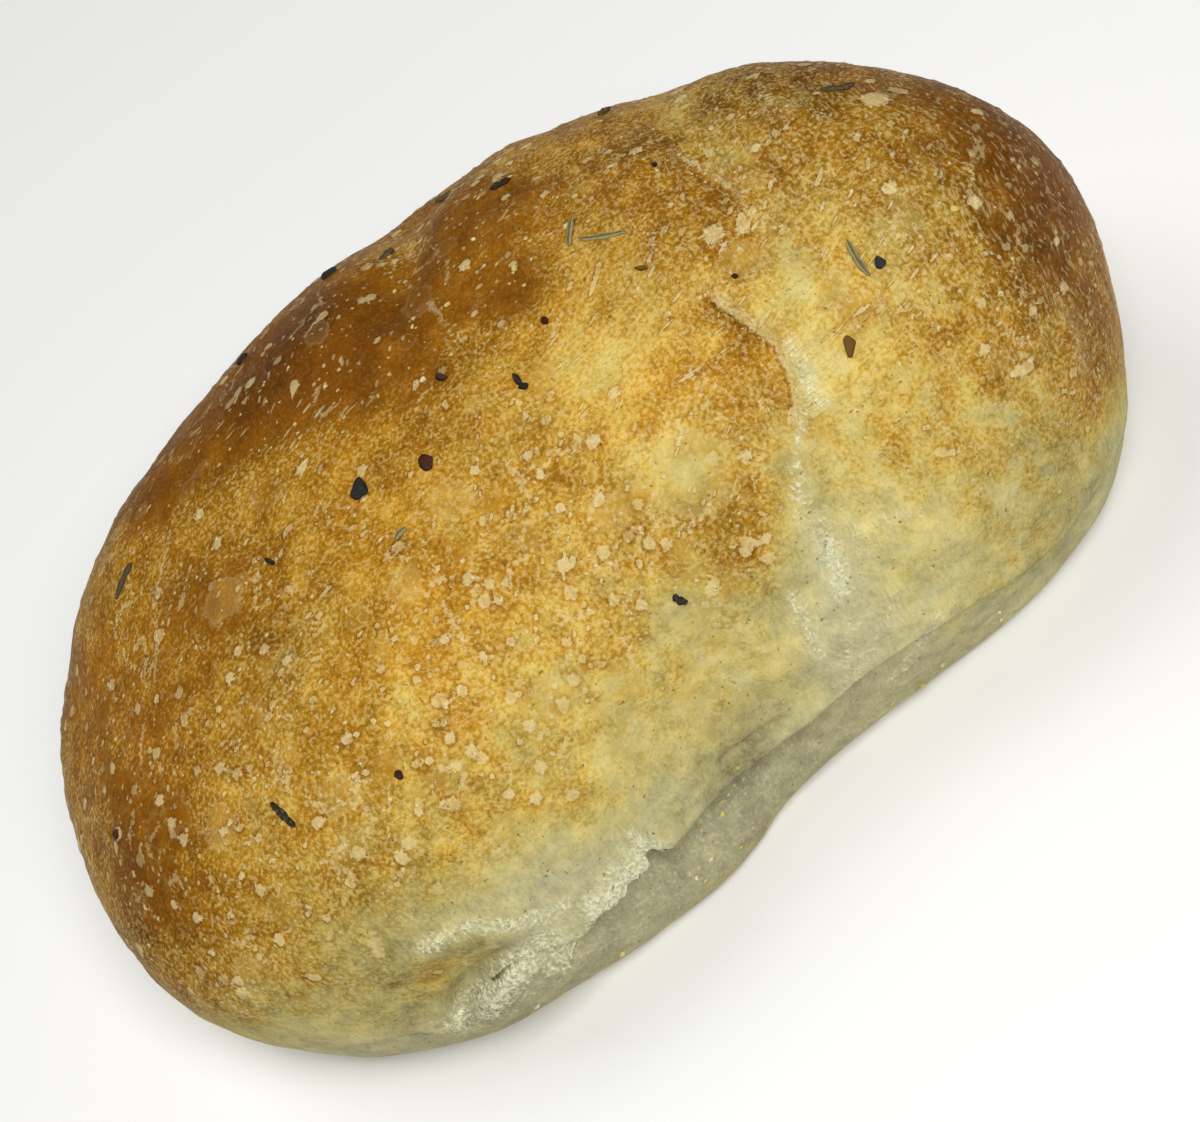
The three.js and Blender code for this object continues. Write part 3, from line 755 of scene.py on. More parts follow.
@dataclass(frozen=True)
class Browning:
    """How brown the crust is: pale at its foot, golden above, and darker or paler in patches.

    The half line says at what height the crust is half golden, by bearing in degrees. Patches
    change the browning itself. The painted light and shade only makes the colour lighter or darker
    where more or less light falls, and the painted crease shadows darken it along the creases by
    the white fold.
    """

    half_line: tuple[Span, ...] = (
        (0, 8), (45, 13), (90, 18), (135, 16), (165, 15), (188, 8), (200, 11), (208, 18), (216, 24),
        (228, 31), (240, 33), (264, 32), (288, 33), (300, 35), (312, 35), (320, 33), (328, 24),
        (336, 13), (346, 8),
    )
    below: float = 14.0
    above: float = 20.0
    golden: float = 0.53
    patches: tuple[Spot, ...] = (
        # heel
        (-48, -6, 37, 15, 0.13), (-62, -5, 25, 12, -0.12), (-36, -14, 41, 10, -0.08),
        (-24, 10, 46, 5, -0.09), (-49, 13, 35, 14, 0.15), (-52, -19, 31, 7, 0.08), (-29, 1, 46, 5, 0.08),
        # dark far side
        (-20, 17, 46, 9, 0.20), (-9, 18, 48, 9, 0.30), (0, 13, 50, 8, 0.18), (-6, 9, 50, 5, 0.10),
        (11, 13, 50.5, 7, 0.16), (14, 2.5, 52, 4, 0.26), (20, 16, 50, 6, 0.12), (-30, 28, 39, 13, 0.20),
        (0, 34, 40, 12, 0.18), (30, 32, 40, 13, 0.14), (33, 8, 52, 5, 0.10), (-2, 4, 50.5, 8, 0.11),
        (12, 19, 49, 5, 0.09), (24, 22, 48, 6, -0.10), (33.5, -5.5, 53.6, 4, 0.14),
        # head
        (47, 12, 47, 11, 0.12), (61, -9, 44, 12, 0.20), (63, -20, 38, 9, 0.12), (64, 12, 34, 14, 0.16),
        (44, 8, 50, 7, -0.15), (60, -5, 48, 6, 0.09), (62, -23, 37.5, 7, 0.07), (60, -31, 25, 7, 0.18),
        (41, -12, 53, 6, 0.07), (43, -21, 50, 12, -0.11), (25, -11, 52.8, 8, -0.06),
        (12, -13, 51, 6, -0.08),
        # pale bubble
        (14.5, -25.5, 46.8, 4.2, -0.20), (19.5, -27.5, 46, 3.5, -0.10),
        # overlapping fold
        (27.5, -21.5, 49.5, 3.0, 0.20), (25.5, -26.5, 46, 2.6, 0.12), (16, -32.5, 38.5, 3.2, 0.12),
        (8.6, -34, 36, 4.0, -0.06),
        # hollow over the white fold
        (-34, -39.8, 22.5, 5.0, 0.30), (-28.5, -41.4, 24.5, 3.2, 0.14), (-11, -40.2, 28, 4.5, 0.15),
        (-15, -38.6, 34, 4.0, 0.08), (1, -38.4, 27, 4.0, 0.07), (45.6, -32.7, 37.5, 2.6, 0.20),
        (42.2, -35.8, 31.2, 2.4, 0.16), (46.0, -36.0, 26, 2.6, 0.14), (30, -35.6, 34, 7.0, -0.06),
        (28, -19, 51, 4, -0.09), (10, -18, 49.5, 5, 0.07), (18, -31, 42, 6, 0.08),
        (37, -33.5, 38, 6, 0.08),
        # low on the head
        (38, -37, 25, 16, 0.12), (55, -32, 27, 8, 0.10),
        # low on the waist
        (5, -38.5, 24, 10, 0.12), (-22, -38.5, 33, 9, 0.13), (-42, -37, 20, 8, 0.10),
        # far valley
        (-9, 21, 48, 8, 0.56), (18, 20, 50, 10, 0.16),
        # crown
        (1, 6, 51, 8, 0.20), (37, -1, 53, 9, 0.06), (-28, 22, 43, 9, 0.10), (-34, 0, 44, 9, 0.08),
        (61, -22, 42, 8, 0.20),
        # near shoulder of the head
        (42, -30, 44, 9, -0.11), (53, -33, 30, 6, -0.11), (42, -37, 18, 9, 0.10), (58, -22, 45, 9, 0.07),
        # over the torn lip
        (-17, -41, 28, 9, -0.11),
        # end of the heel
        (-54, -13, 34, 8, 0.26),
        # round the left bubble
        (-29, -1, 46, 8, 0.10), (16, -10, 52, 8, -0.07), (-34, -36, 35, 4, 0.11),
        (-36, -25, 41, 6, -0.08), (64, -18, 41, 9, 0.08), (37, -27, 47, 9, -0.07),
        (14, -13, 51, 9, -0.06), (-30, -42, 25, 9, -0.07), (-42, 17, 39, 9, -0.10),
    )
    # Painted light and shade: patches of lighter colour where light falls and darker where shade falls.
    painted_light_and_shade: tuple[Spot, ...] = (
        # round the left bubble
        (-26, -11, 47, 6, -0.20),
        # end of the head
        (56, -22, 47, 12, -0.28), (44, 4, 53, 12, -0.18), (47, -36, 28, 11, -0.12),
        (11, -33, 38, 10, -0.08), (2, -38, 16, 8, -0.33), (2, 0, 51, 8, -0.15),
        # far valley
        (-9, 21, 48, 7, -0.22), (-23, -35, 39, 6, -0.12), (17, -9, 52, 6, 0.20), (21, -19, 50, 6, 0.27),
        (-12, -23, 47, 12, 0.12), (-33, -39, 17, 12, -0.14), (12, 5, 52, 12, 0.11),
        (-39, -9, 42, 12, 0.10), (47, -36, 17, 12, -0.12), (16, -35, 34, 6, -0.14),
        (48, 6, 51, 12, -0.12), (58, -22, 45, 6, 0.15), (37, -30, 44, 6, 0.12), (-6, 9, 50, 6, 0.14),
        (-25, -1, 47, 6, 0.12), (-27, -13, 46, 6, -0.10), (1, -9, 50, 6, -0.10),
        (-11, -1, 49, 12, 0.13), (-52, -31, 24, 6, -0.15),
        # near side of the crown
        (-13, -17, 48, 11, 0.13), (8, -16, 50, 6, 0.10),
        # heel
        (-47, 5, 37, 12, 0.15),
        # over the fold
        (-38, -38, 28, 12, -0.30), (-57, -20, 28, 11, -0.24),
        # round the pale bubble
        (13, -31, 41, 7, -0.12), (4, -37, 20, 5, -0.10), (30, -38, 27, 6, 0.12),
    )
    # Painted shadows: dark streaks along the creases by the white fold.
    painted_crease_shadows: tuple[Streak, ...] = (
        Streak(
            ((-36.5, -39.9, 12), (-34.5, -40.5, 16), (-31.5, -41.3, 19.8), (-27.5, -42.2, 21.8)), 0.9, 0.36
        ),
        Streak(((-38, -38.8, 20), (-41, -38.4, 15), (-42.5, -38.0, 10)), 1.2, 0.12),
    )
    groove_paleness: float = 0.17
    groove_reach: float = 3.2
    mottling: tuple[Span, ...] = ((6.5, 0.06), (2.7, 0.08), (1.3, 0.09))
    mottling_seed: int = 61
    streaking: tuple[Span, ...] = ((1.5, 0.09), (0.8, 0.10))
    streaking_seed: int = 71
    streaked: Span = (12.0, 40.0)
    streak_length: float = 5.0
    toning: tuple[Span, ...] = ((4.2, 0.14), (1.7, 0.15), (0.9, 0.16))
    toning_seed: int = 81

    def toned(self, points: Array, normals: Array) -> Array:
        """Gives how light each point is, about 1: noise, painted light and shade, painted crease shadows."""
        total = 1 + layered_noise(points, self.toning, self.toning_seed)
        # Named patches of painted light and shade.
        for shade in self.painted_light_and_shade:
            total += Patch(*shade).at(points)
        # Painted shadow along the creases by the white fold.
        for line in self.painted_crease_shadows:
            total -= line.at(points, normals)
        return total

    def mottled(self, points: Array) -> Array:
        """Gives the uneven browning: lattice noise in three sizes, and streaks over the head."""
        total = layered_noise(points, self.mottling, self.mottling_seed)
        drawn = points * np.array([1.0, 1 / self.streak_length, 1 / self.streak_length])
        streaks = layered_noise(drawn, self.streaking, self.streaking_seed)
        return total + smooth(*self.streaked, points[:, 0]) * streaks

    def at(self, points: Array, bearing: Array, groove: Array) -> Array:
        """Gives how brown each point is, from 0 for bare dough to 1 for dark brown.

        Args:
            points: Places on the crust.
            bearing: Their bearings.
            groove: Their distances from the groove.

        Returns:
            The step from pale to golden, plus a bell curve for each patch, less the groove's.
        """
        line = closed_stations(bearing, np.array(self.half_line, float))[:, 0]
        total = self.golden * smooth(line - self.below, line + self.above, points[:, 2])
        for patch in self.patches:
            total += Patch(*patch).at(points)
        return total - self.groove_paleness * bell(groove / self.groove_reach)


@dataclass(frozen=True)
class Chalk:
    """Where bare crumb and floury dough show white: by the torn lip, on folds and in cracks."""

    torn_reach: float = 5.5
    lip_span: Span = (-0.6, 0.2)
    veins: tuple[Streak, ...] = (
        # white fold
        Streak(((-36, -40, 13), (-33.5, -41.5, 15.5), (-30, -43, 18), (-27, -43, 19)), 2.2, 0.80),
        Streak(((-33, -40.5, 28), (-28.5, -41.3, 27.8), (-24.4, -42.6, 24.6), (-20, -42.5, 22.5)), 1.3, 0.55),
        Streak(((-26.5, -43, 19), (-24, -42.8, 20.3), (-21.3, -41.4, 16.5), (-24, -42.8, 15.3)), 2.4, 0.60),
        # foot of the groove
        Streak(((24, -33.6, 36), (23, -34.8, 32), (22, -36.4, 28.4)), 2.0, 0.34),
        Streak(
            ((23.6, -34.2, 33.9), (23.3, -34.8, 32.1), (22.7, -35.6, 30.3), (22.1, -36.4, 28.4)), 1.2, 0.66
        ),
        Streak(((23.4, -31.6, 39.7), (23.0, -32.4, 38.2), (22.5, -33.2, 36.3)), 0.9, 0.32),
        Streak(((20.9, -37.5, 25), (20.4, -37.7, 24), (19.1, -37.8, 21.5), (17.7, -37.9, 17.4)), 1.5, 0.32),
        Streak(
            ((28.6, -38.8, 17.5), (26.5, -37.7, 14.5), (23.4, -37.0, 11.9), (20.9, -36.6, 10.7)), 1.5, 0.34
        ),
        # Raised side of the overlapping fold: a pale ridge, partly a painted highlight, as white crumb.
        Streak(
            ((32.1, -23.4, 48.7), (31.8, -24.8, 47.6), (31.3, -26.6, 46.4), (30.9, -28.6, 44.8)), 0.9, 0.60
        ),
        Streak(((29.6, -27.5, 44.7), (27.6, -28.7, 43.0), (25.3, -30.4, 41.3)), 0.8, 0.40),
        Streak(((25.3, -30.4, 41.3), (23.9, -31.9, 39.1), (24.0, -33.4, 37.5)), 1.2, 0.45),
        Streak(((35.6, 4.6, 52.9), (36.8, -0.6, 53.1), (37.8, -5.1, 53.0), (37.1, -13.4, 52.2)), 0.8, 0.22),
        Streak(
            ((26.4, -35.5, 33.6), (28.9, -36.3, 33.7), (31.4, -36.9, 33.1), (33.2, -37.3, 32.0)), 1.3, 0.26
        ),
        Streak(((17.5, -35.5, 31.5), (17, -37, 27), (16.5, -37.4, 23)), 1.3, 0.45),
        Streak(((26, -37.4, 24), (22, -37.5, 20), (17, -37.5, 17)), 1.8, 0.30),
        Streak(((56, -28, 36), (57, -29.5, 32), (55.5, -31.5, 28)), 1.6, 0.30),
    )

    def at(self, points: Array, normals: Array, torn: Array, rise: Array) -> Array:
        """Gives how white each point is.

        Args:
            points: Places on the crust.
            normals: Outward normals there.
            torn: 1 along the torn stretch of the lip.
            rise: Their heights over the lip.

        Returns:
            The torn lip's share, which fades upwards, or a vein's bell curve where that's more.
        """
        total = torn * smooth(self.torn_reach, 0, rise) * smooth(*self.lip_span, rise)
        for vein in self.veins:
            total = np.maximum(total, vein.at(points, normals))
        return total


# ---- The crust


@dataclass
class Crust:
    """The whole skin of the roll, from its crown to its flat base."""

    body: LoafBody = field(default_factory=LoafBody)
    seam: Seam = field(default_factory=Seam)
    relief: Relief = field(default_factory=Relief)
    skin: Skin = field(default_factory=Skin)
    blisters: Discs = BLISTERS
    films: Discs = FILMS
    cracks: Cracks = Cracks()
    browning: Browning = field(default_factory=Browning)
    chalk: Chalk = field(default_factory=Chalk)
    cap_cells: int = 152
    cap_fall: float = 0.6
    dome_rows: int = 44
    flank_rows: int = 12
    roll_rows: int = 32
    base_rows: int = 14
    shape_fade: float = 5.0
    lip_fade: float = 3.0
    skin_fade: float = 4.0
    stand_shares: Span = (0.3, 0.95)
    near_bearing: float = 262.0
    near_width: float = 0.8
    browned: Span = (0.1, 0.4)
    top_from: float = 22.0
    ragged_reach: float = 1.6
    ragged_height: float = 0.45
    ragged_cell: float = 0.9
    ragged_seed: int = 41
    pit_depth: float = 0.22
    pit_cell: float = 3.1
    pit_seed: int = 53
    pit_rim: Span = (0.97, 0.9)
    base_rim: Span = (0.99, 0.9)
    base_widest: float = 20.0
    foot_span: Span = (6.0, 1.0)
    foot_browning: float = 0.22
    drift_size: float = 5.0
    drift_seed: int = 97
    streak_span: Span = (10.0, 34.0)
    chalk_under_lip: float = 0.3
    # Roll mask: painted shade under the lip, fading out above it and weaker at the foot, where light falls.
    roll_reach: float = 2.0
    roll_over_lip: float = 0.3
    roll_foot: float = 0.4
    middle: Array = field(default_factory=lambda: np.zeros(3))

    def shape(self, points: Array, normals: Array) -> Array:
        """Moves points of the body out by the relief, which dies away towards the flat base."""
        raised = self.relief.raised(points, normals) * smooth(0, self.shape_fade, points[:, 2])
        moved = points + normals * raised[:, None]
        moved[:, 2] = np.maximum(moved[:, 2], 0)
        return moved

    def turned_out(self, points: Array, normals: Array, bearing: Array, height: Array) -> Array:
        """Gives the crust above the lip: shaped, and turned out towards the lip by a bell curve.

        Args:
            points: Points of the body.
            normals: Outward normals there.
            bearing: Their bearings.
            height: Their heights before the loaf's rise.

        Returns:
            The shaped points.
        """
        lip, overhang, _ = self.seam.on(bearing, self.body.widest_height)
        out = self.seam.lip_share * overhang * bell((height - lip) / self.seam.flare)
        out *= smooth(0, self.lip_fade, height)
        return self.shape(points, normals) + level(normals) * out[:, None]

    def on_dome(self, bearing: Array, fall: Array) -> Array:
        """Gives points of the crust between the crown and the widest line."""
        normals = self.body.dome_normal(bearing, fall)
        height = self.body.dome_height(fall)
        return self.turned_out(self.body.dome(bearing, fall), normals, bearing, height)

    def on_flank(self, bearing: Array, height: Array) -> Array:
        """Gives points of the crust between the widest line and the lip."""
        normals = self.body.flank_normal(bearing, height)
        return self.turned_out(self.body.flank(bearing, height), normals, bearing, height)

    def on_roll(self, bearing: Array, height: Array) -> Array:
        """Gives points of the base roll, cut in under the lip and standing out at its foot."""
        lip, overhang, foot = self.seam.on(bearing, self.body.widest_height)
        normals = self.body.flank_normal(bearing, height)
        cut = (1 - self.seam.lip_share) * overhang * bell((lip - height) / self.seam.base_return)
        low, high = self.stand_shares
        stand = foot * (1 - smooth(low * lip, high * lip, height))
        sideways = stand - cut * smooth(0, self.lip_fade, height)
        return self.shape(self.body.flank(bearing, height), normals) + level(normals) * sideways[:, None]

    def cap_grid(self) -> tuple[Array, Array, Array]:
        """Lays a square grid over the crown.

        Rings of the square become rings of the dome: a cell's larger coordinate is its share of
        the cap's fall, and the smaller over the larger turns it by up to an eighth of a turn.

        Returns:
            The bearings and falls of the grid's points, and the grid's outermost ring of indices.
        """
        side = np.linspace(-1, 1, self.cap_cells + 1)
        a, b = np.meshgrid(side, side, indexing="ij")
        wide = np.abs(a) > np.abs(b)
        reach = np.where(wide, a, b)
        whole = np.where(reach == 0, 1, reach)
        turn = np.where(wide, np.pi / 4 * b / whole, np.pi / 2 - np.pi / 4 * a / whole)
        bearing = np.where(reach < 0, turn + np.pi, turn)
        index = np.arange(side.size**2).reshape(side.size, side.size)
        rim = np.concatenate([index[-1, :-1], index[:0:-1, -1], index[0, :0:-1], index[:-1, 0]])
        return bearing.ravel(), (np.abs(reach) * self.cap_fall).ravel(), rim

    def build(self) -> bpy.types.Object:
        """Builds the crust.

        A square grid covers the crown. Rows of as many points as the grid's rim has follow it down
        the dome, down the flank to the lip, back up under the lip, down the base roll, and in
        across the base to its middle.

        Returns:
            The crust's object, with its masks.
        """
        bearing, fall, rim = self.cap_grid()
        round_it = bearing[rim]
        count = len(rim)
        widest = self.body.widest_height
        lip, _, _ = self.seam.on(round_it, widest)
        rows = [self.on_dome(bearing, fall)]
        for k in range(1, self.dome_rows + 1):
            share = self.cap_fall + (1 - self.cap_fall) * k / self.dome_rows
            rows.append(self.on_dome(round_it, np.full(count, share)))
        for k in range(1, self.flank_rows + 1):
            rows.append(self.on_flank(round_it, widest + (lip - widest) * k / self.flank_rows))
        above = sum(len(row) for row in rows)
        for k in range(self.roll_rows + 1):
            rows.append(self.on_roll(round_it, lip * (1 - np.sin(k / self.roll_rows * np.pi / 2))))
        beside = sum(len(row) for row in rows)
        foot = rows[-1]
        for k in range(1, self.base_rows):
            rows.append(foot * (1 - k / self.base_rows))
        rows.append(np.zeros((1, 3)))
        points = np.concatenate(rows)
        laps = (len(points) - len(bearing) - 1) // count
        bearings = np.concatenate([bearing, np.tile(round_it, laps), [0.0]])
        faces = self.faces(rim, count, len(points))
        return self.finish_mesh(points, bearings, faces, above, beside)

    def faces(self, rim: Array, count: int, total: int) -> list[Array]:
        """Joins the grid, the rows and the middle of the base into one closed skin.

        Args:
            rim: Indices of the grid's outermost ring.
            count: How many points a row has.
            total: How many points there are in all.

        Returns:
            The grid's and the rows' faces of four corners, and the base's fan of three.
        """
        side = self.cap_cells + 1
        index = np.arange(side * side).reshape(side, side)
        cap = np.stack([index[:-1, :-1], index[1:, :-1], index[1:, 1:], index[:-1, 1:]], axis=-1)
        below = np.arange(side * side, total - 1).reshape(-1, count)
        rings = np.concatenate([rim[None, :], below])
        upper, lower = rings[:-1], rings[1:]
        belt = np.stack([upper, lower, np.roll(lower, -1, axis=1), np.roll(upper, -1, axis=1)], axis=-1)
        last = rings[-1]
        fan = np.stack([last, np.full(count, total - 1), np.roll(last, -1)], axis=-1)
        return [cap.reshape(-1, 4), belt.reshape(-1, 4), fan]

    def finish_mesh(
        self, points: Array, bearings: Array, faces: list[Array], above: int, beside: int
    ) -> bpy.types.Object:
        """Adds the fine skin, works out the masks and makes the object.

        Args:
            points: The shaped points.
            bearings: Their bearings.
            faces: The faces that join them.
            above: How many of the points lie above the lip.
            beside: How many lie above the base.

        Returns:
            The crust's object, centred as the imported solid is.
        """
        normals = self.vertex_normals(points, faces)
        number = np.arange(len(points))
        upper = number < above
        under = number >= beside
        near_side = bell((bearings % FULL_TURN - np.radians(self.near_bearing)) / self.near_width)
        lip, _, _ = self.seam.on(bearings, self.body.widest_height)
        torn = self.seam.torn(bearings)
        groove, _, _ = self.relief.groove.near(points, normals)
        bake = self.browning.at(points, bearings, groove)
        browned = smooth(*self.browned, bake)
        top = upper & (points[:, 2] > self.top_from)
        blister_height, blister_edge, blister_pale = self.blisters.laid(points, top)
        film_height, film_edge, film_pale = self.films.laid(points, top)
        raised = self.skin.raised(points, normals, bearings, near_side)
        raised += (blister_height + film_height) * browned
        ragged = torn * bell((points[:, 2] - lip) / self.ragged_reach)
        raised += self.ragged_height * ragged * lattice_noise(points, self.ragged_cell, self.ragged_seed)
        points = points + normals * (raised * smooth(0, self.skin_fade, points[:, 2]))[:, None]
        out = np.linalg.norm(points[:, :2], axis=1) / self.foot_radius(bearings)
        pits = self.pit_depth * (0.5 + 0.5 * lattice_noise(points, self.pit_cell, self.pit_seed))
        points[under, 2] = (pits * smooth(*self.pit_rim, out))[under]
        points[:, 2] = np.maximum(points[:, 2], 0)
        rise = points[:, 2] - lip
        foot = near_side * smooth(*self.foot_span, points[:, 2]) * ~under
        mottled = self.browning.mottled(points) * (0.5 + 0.5 * browned)
        white = torn * np.where(upper, 1.0, self.chalk_under_lip)
        rolled = near_side * np.where(upper, self.roll_over_lip, 1.0 - self.roll_foot * foot)
        fold_side, fold = self.skin.overlap.beside(points, normals)
        masks = {
            "fold_side": fold_side,
            "fold": fold,
            "bake": bake + mottled + self.foot_browning * foot,
            # Lightness about 1: random toning, with painted light and shade and painted crease shadows.
            "tone_and_painted_shade": self.browning.toned(points, normals),
            "blister_edge": blister_edge,
            "blister_pale": blister_pale,
            "film_edge": film_edge,
            "film_pale": film_pale,
            "crack_edge": self.cracks.laid(points, normals, top),
            "drift": lattice_noise(points, self.drift_size, self.drift_seed),
            "streak": smooth(*self.streak_span, points[:, 0]) * top,
            "chalk": self.chalk.at(points, normals, white, rise),
            # The base roll, which takes a painted shade under the lip.
            "roll": smooth(self.roll_reach, 0, rise) * rolled,
            "base": smooth(*self.base_rim, out) * under,
        }
        self.middle = (points.min(axis=0) + points.max(axis=0)) / 2 * np.array([1.0, 1.0, 0.0])
        return make_piece("crust", points - self.middle, faces, masks)

    def foot_radius(self, bearings: Array) -> Array:
        """Gives how far the base reaches on each bearing."""
        _, _, foot = self.seam.on(bearings, self.base_widest)
        return self.body.plan_radius(bearings) * self.body.base_share + foot

    @staticmethod
    def vertex_normals(points: Array, faces: list[Array]) -> Array:
        """Gives each vertex the mean normal of its faces, by the cross product of their diagonals."""
        total = np.zeros_like(points)
        for part in faces:
            corners = points[part]
            across = corners[:, 2] - corners[:, 0]
            along = corners[:, -1] - corners[:, 1]
            normal = np.cross(across, along)
            for k in range(part.shape[1]):
                np.add.at(total, part[:, k], normal)
        return unit(total)

    def frame_on_top(self, x: float, y: float, turn: float, lift: float) -> Array:
        """Gives a frame on the dome above a place in plan.

        Args:
            x: The place's X before the loaf is centred.
            y: Its Y.
            turn: The way the frame's X axis points in plan, in degrees.
            lift: How far its origin stands above the crust.

        Returns:
            A 4 by 4 matrix whose Z axis is the outward normal.
        """
        bearing, fall = self.body.fall_at(x, y)
        here = self.on_dome(np.array([bearing]), np.array([fall]))[0]
        normal = self.body.dome_normal(np.array([bearing]), np.array([fall]))[0]
        return self.frame_from(here, normal, turn, lift)

    def frame_on_roll(self, degrees: float, height: float, turn: float, lift: float) -> Array:
        """Gives a frame on the base roll, at a bearing in degrees and a height."""
        bearing = np.radians([degrees])
        here = self.on_roll(bearing, np.array([height]))[0]
        normal = self.body.flank_normal(bearing, np.array([height]))[0]
        return self.frame_from(here, normal, turn, lift)

    def frame_from(self, here: Array, normal: Array, turn: float, lift: float) -> Array:
        """Gives a frame at a point with its Z axis along a normal and its X axis turned in plan."""
        heading = np.array([np.cos(np.radians(turn)), np.sin(np.radians(turn)), 0.0])
        across = unit(np.cross(normal, heading))
        frame_here = np.eye(4)
        frame_here[:3, 0] = np.cross(across, normal)
        frame_here[:3, 1] = across
        frame_here[:3, 2] = normal
        frame_here[:3, 3] = here + normal * lift - self.middle
        return frame_here


# ---- Herbs, pepper and cornmeal


class Shade(Enum):
    """How dark a fleck has been baked."""

    FRESH = 0.0
    BAKED = 0.5
    BURNT = 1.0


@dataclass(frozen=True)
class Fleck:
    """A fleck on the crust: where it lies in plan, its size, the way it points, and its shade."""

    x: float
    y: float
    length: float
    width: float
    turn: float
    bow: float = 0.0
    shade: Shade = Shade.BAKED


def moved_to(place: Array, points: Array) -> Array:
    """Gives a shape's points in the loaf's frame, from its own frame at a place on the crust."""
    return points @ place[:3, :3].T + place[:3, 3]


def gather(
    name: str, shapes: list[tuple[Array, Array, dict[str, Array]]], rounded: bool = True
) -> bpy.types.Object:
    """Joins small closed shapes into one piece.

    Args:
        name: The piece's name.
        shapes: For each shape its points, its faces of three corners, and its masks.
        rounded: Whether its faces are shaded as one smooth skin.

    Returns:
        The piece.
    """
    starts = np.cumsum([0] + [len(points) for points, _, _ in shapes[:-1]])
    points = np.concatenate([shape[0] for shape in shapes])
    faces = np.concatenate([shape[1] + start for shape, start in zip(shapes, starts)])
    masks = {mask: np.concatenate([shape[2][mask] for shape in shapes]) for mask in shapes[0][2]}
    return make_piece(name, points, [faces], masks, rounded)


@dataclass
class Rosemary:
    """Dried needles of rosemary, curled along their middle and baked on to the crust."""

    needles: tuple[Fleck, ...] = (
        Fleck(22.4, 3.5, 4.1, 0.7, 55, 0.1, Shade.FRESH),
        Fleck(24.6, -0.3, 5.4, 0.7, 139, 0.2, Shade.FRESH),
        Fleck(42.7, -21.5, 4.5, 0.7, 86, 0.2, Shade.FRESH),
        Fleck(53.3, -1.5, 3.8, 0.8, 165, 0.45, Shade.BAKED),
        Fleck(-36.5, -25.5, 3.8, 0.8, 94, 0, Shade.BURNT),
        Fleck(-38.7, 14, 4.4, 0.7, 19, 0.2, Shade.BAKED),
        Fleck(20.2, 19.9, 2.6, 0.9, 162, 0.1, Shade.BURNT),
        Fleck(5.7, 25.9, 2.1, 1.2, 19, 0, Shade.BAKED),
        Fleck(8.3, -32.5, 1.7, 0.8, 104, 0.15, Shade.BURNT),
        Fleck(15, 31.5, 2.4, 0.6, 8, -0.3, Shade.BAKED), Fleck(34.3, 21.5, 2, 0.8, 38, 0.1, Shade.BAKED),
        Fleck(-10.2, -12.8, 1.6, 0.7, 9, 0.1, Shade.FRESH),
    )
    thickness: float = 0.7
    lift: float = 0.16
    sides: int = 14
    stations: int = 22
    blunt: float = 1.02
    waves: tuple[Point, ...] = ((0.16, 7, 1.9), (0.08, 17, 1))
    channel_width: float = 0.42
    channel_depth: float = 0.55

    def needle(self, fleck: Fleck, number: int) -> tuple[Array, Array, dict[str, Array]]:
        """Sweeps a curled section along a bowed line.

        The girth is (1 - |s|^3)^0.5 of the share s of the way to either end, made uneven by sine
        waves with a height, a pace and a phase each. The section is an ellipse pressed in along its
        top, which leaves a channel between two raised edges.

        Args:
            fleck: The needle's size and bow.
            number: Which needle it is, which seeds its unevenness.

        Returns:
            Its points in its own frame, its faces and its masks.
        """
        along, turn = np.meshgrid(
            np.linspace(-1, 1, self.stations), np.arange(self.sides) / self.sides * FULL_TURN, indexing="ij"
        )
        girth = np.sqrt(np.clip(self.blunt - np.abs(along) ** 3, 0, 1))
        uneven = (height * np.sin(pace * along + phase * number) for height, pace, phase in self.waves)
        girth *= sum(uneven, start=1.0)
        channel = bell((turn - np.pi / 2) / self.channel_width)
        x = along * fleck.length / 2
        y = fleck.bow * (1 - along**2) + girth * fleck.width / 2 * np.cos(turn)
        z = girth * self.thickness / 2 * np.sin(turn) * (1 - self.channel_depth * channel)
        points = np.stack([x, y, z], axis=-1).reshape(-1, 3)
        masks = {
            "tint": np.full(len(points), fleck.shade.value),
            "channel": channel.reshape(-1),
        }
        index = np.arange(self.stations * self.sides).reshape(self.stations, self.sides)
        a, b = index[:-1], index[1:]
        a_next, b_next = np.roll(a, -1, axis=1), np.roll(b, -1, axis=1)
        skin = np.stack([np.stack([a, a_next, b_next], -1), np.stack([a, b_next, b], -1)]).reshape(-1, 3)
        first, last = index[0], index[-1]
        head = np.stack([np.full(self.sides - 2, first[0]), first[2:], first[1:-1]], axis=-1)
        tail = np.stack([np.full(self.sides - 2, last[0]), last[1:-1], last[2:]], axis=-1)
        return points, np.concatenate([skin, head, tail]), masks

    def build(self, crust: Crust) -> bpy.types.Object:
        """Lays every needle on the crust and joins them into one piece."""
        shapes = []
        for number, fleck in enumerate(self.needles):
            points, faces, masks = self.needle(fleck, number)
            place = crust.frame_on_top(fleck.x, fleck.y, fleck.turn, self.lift)
            shapes.append((moved_to(place, points), faces, masks))
        return gather("rosemary", shapes)


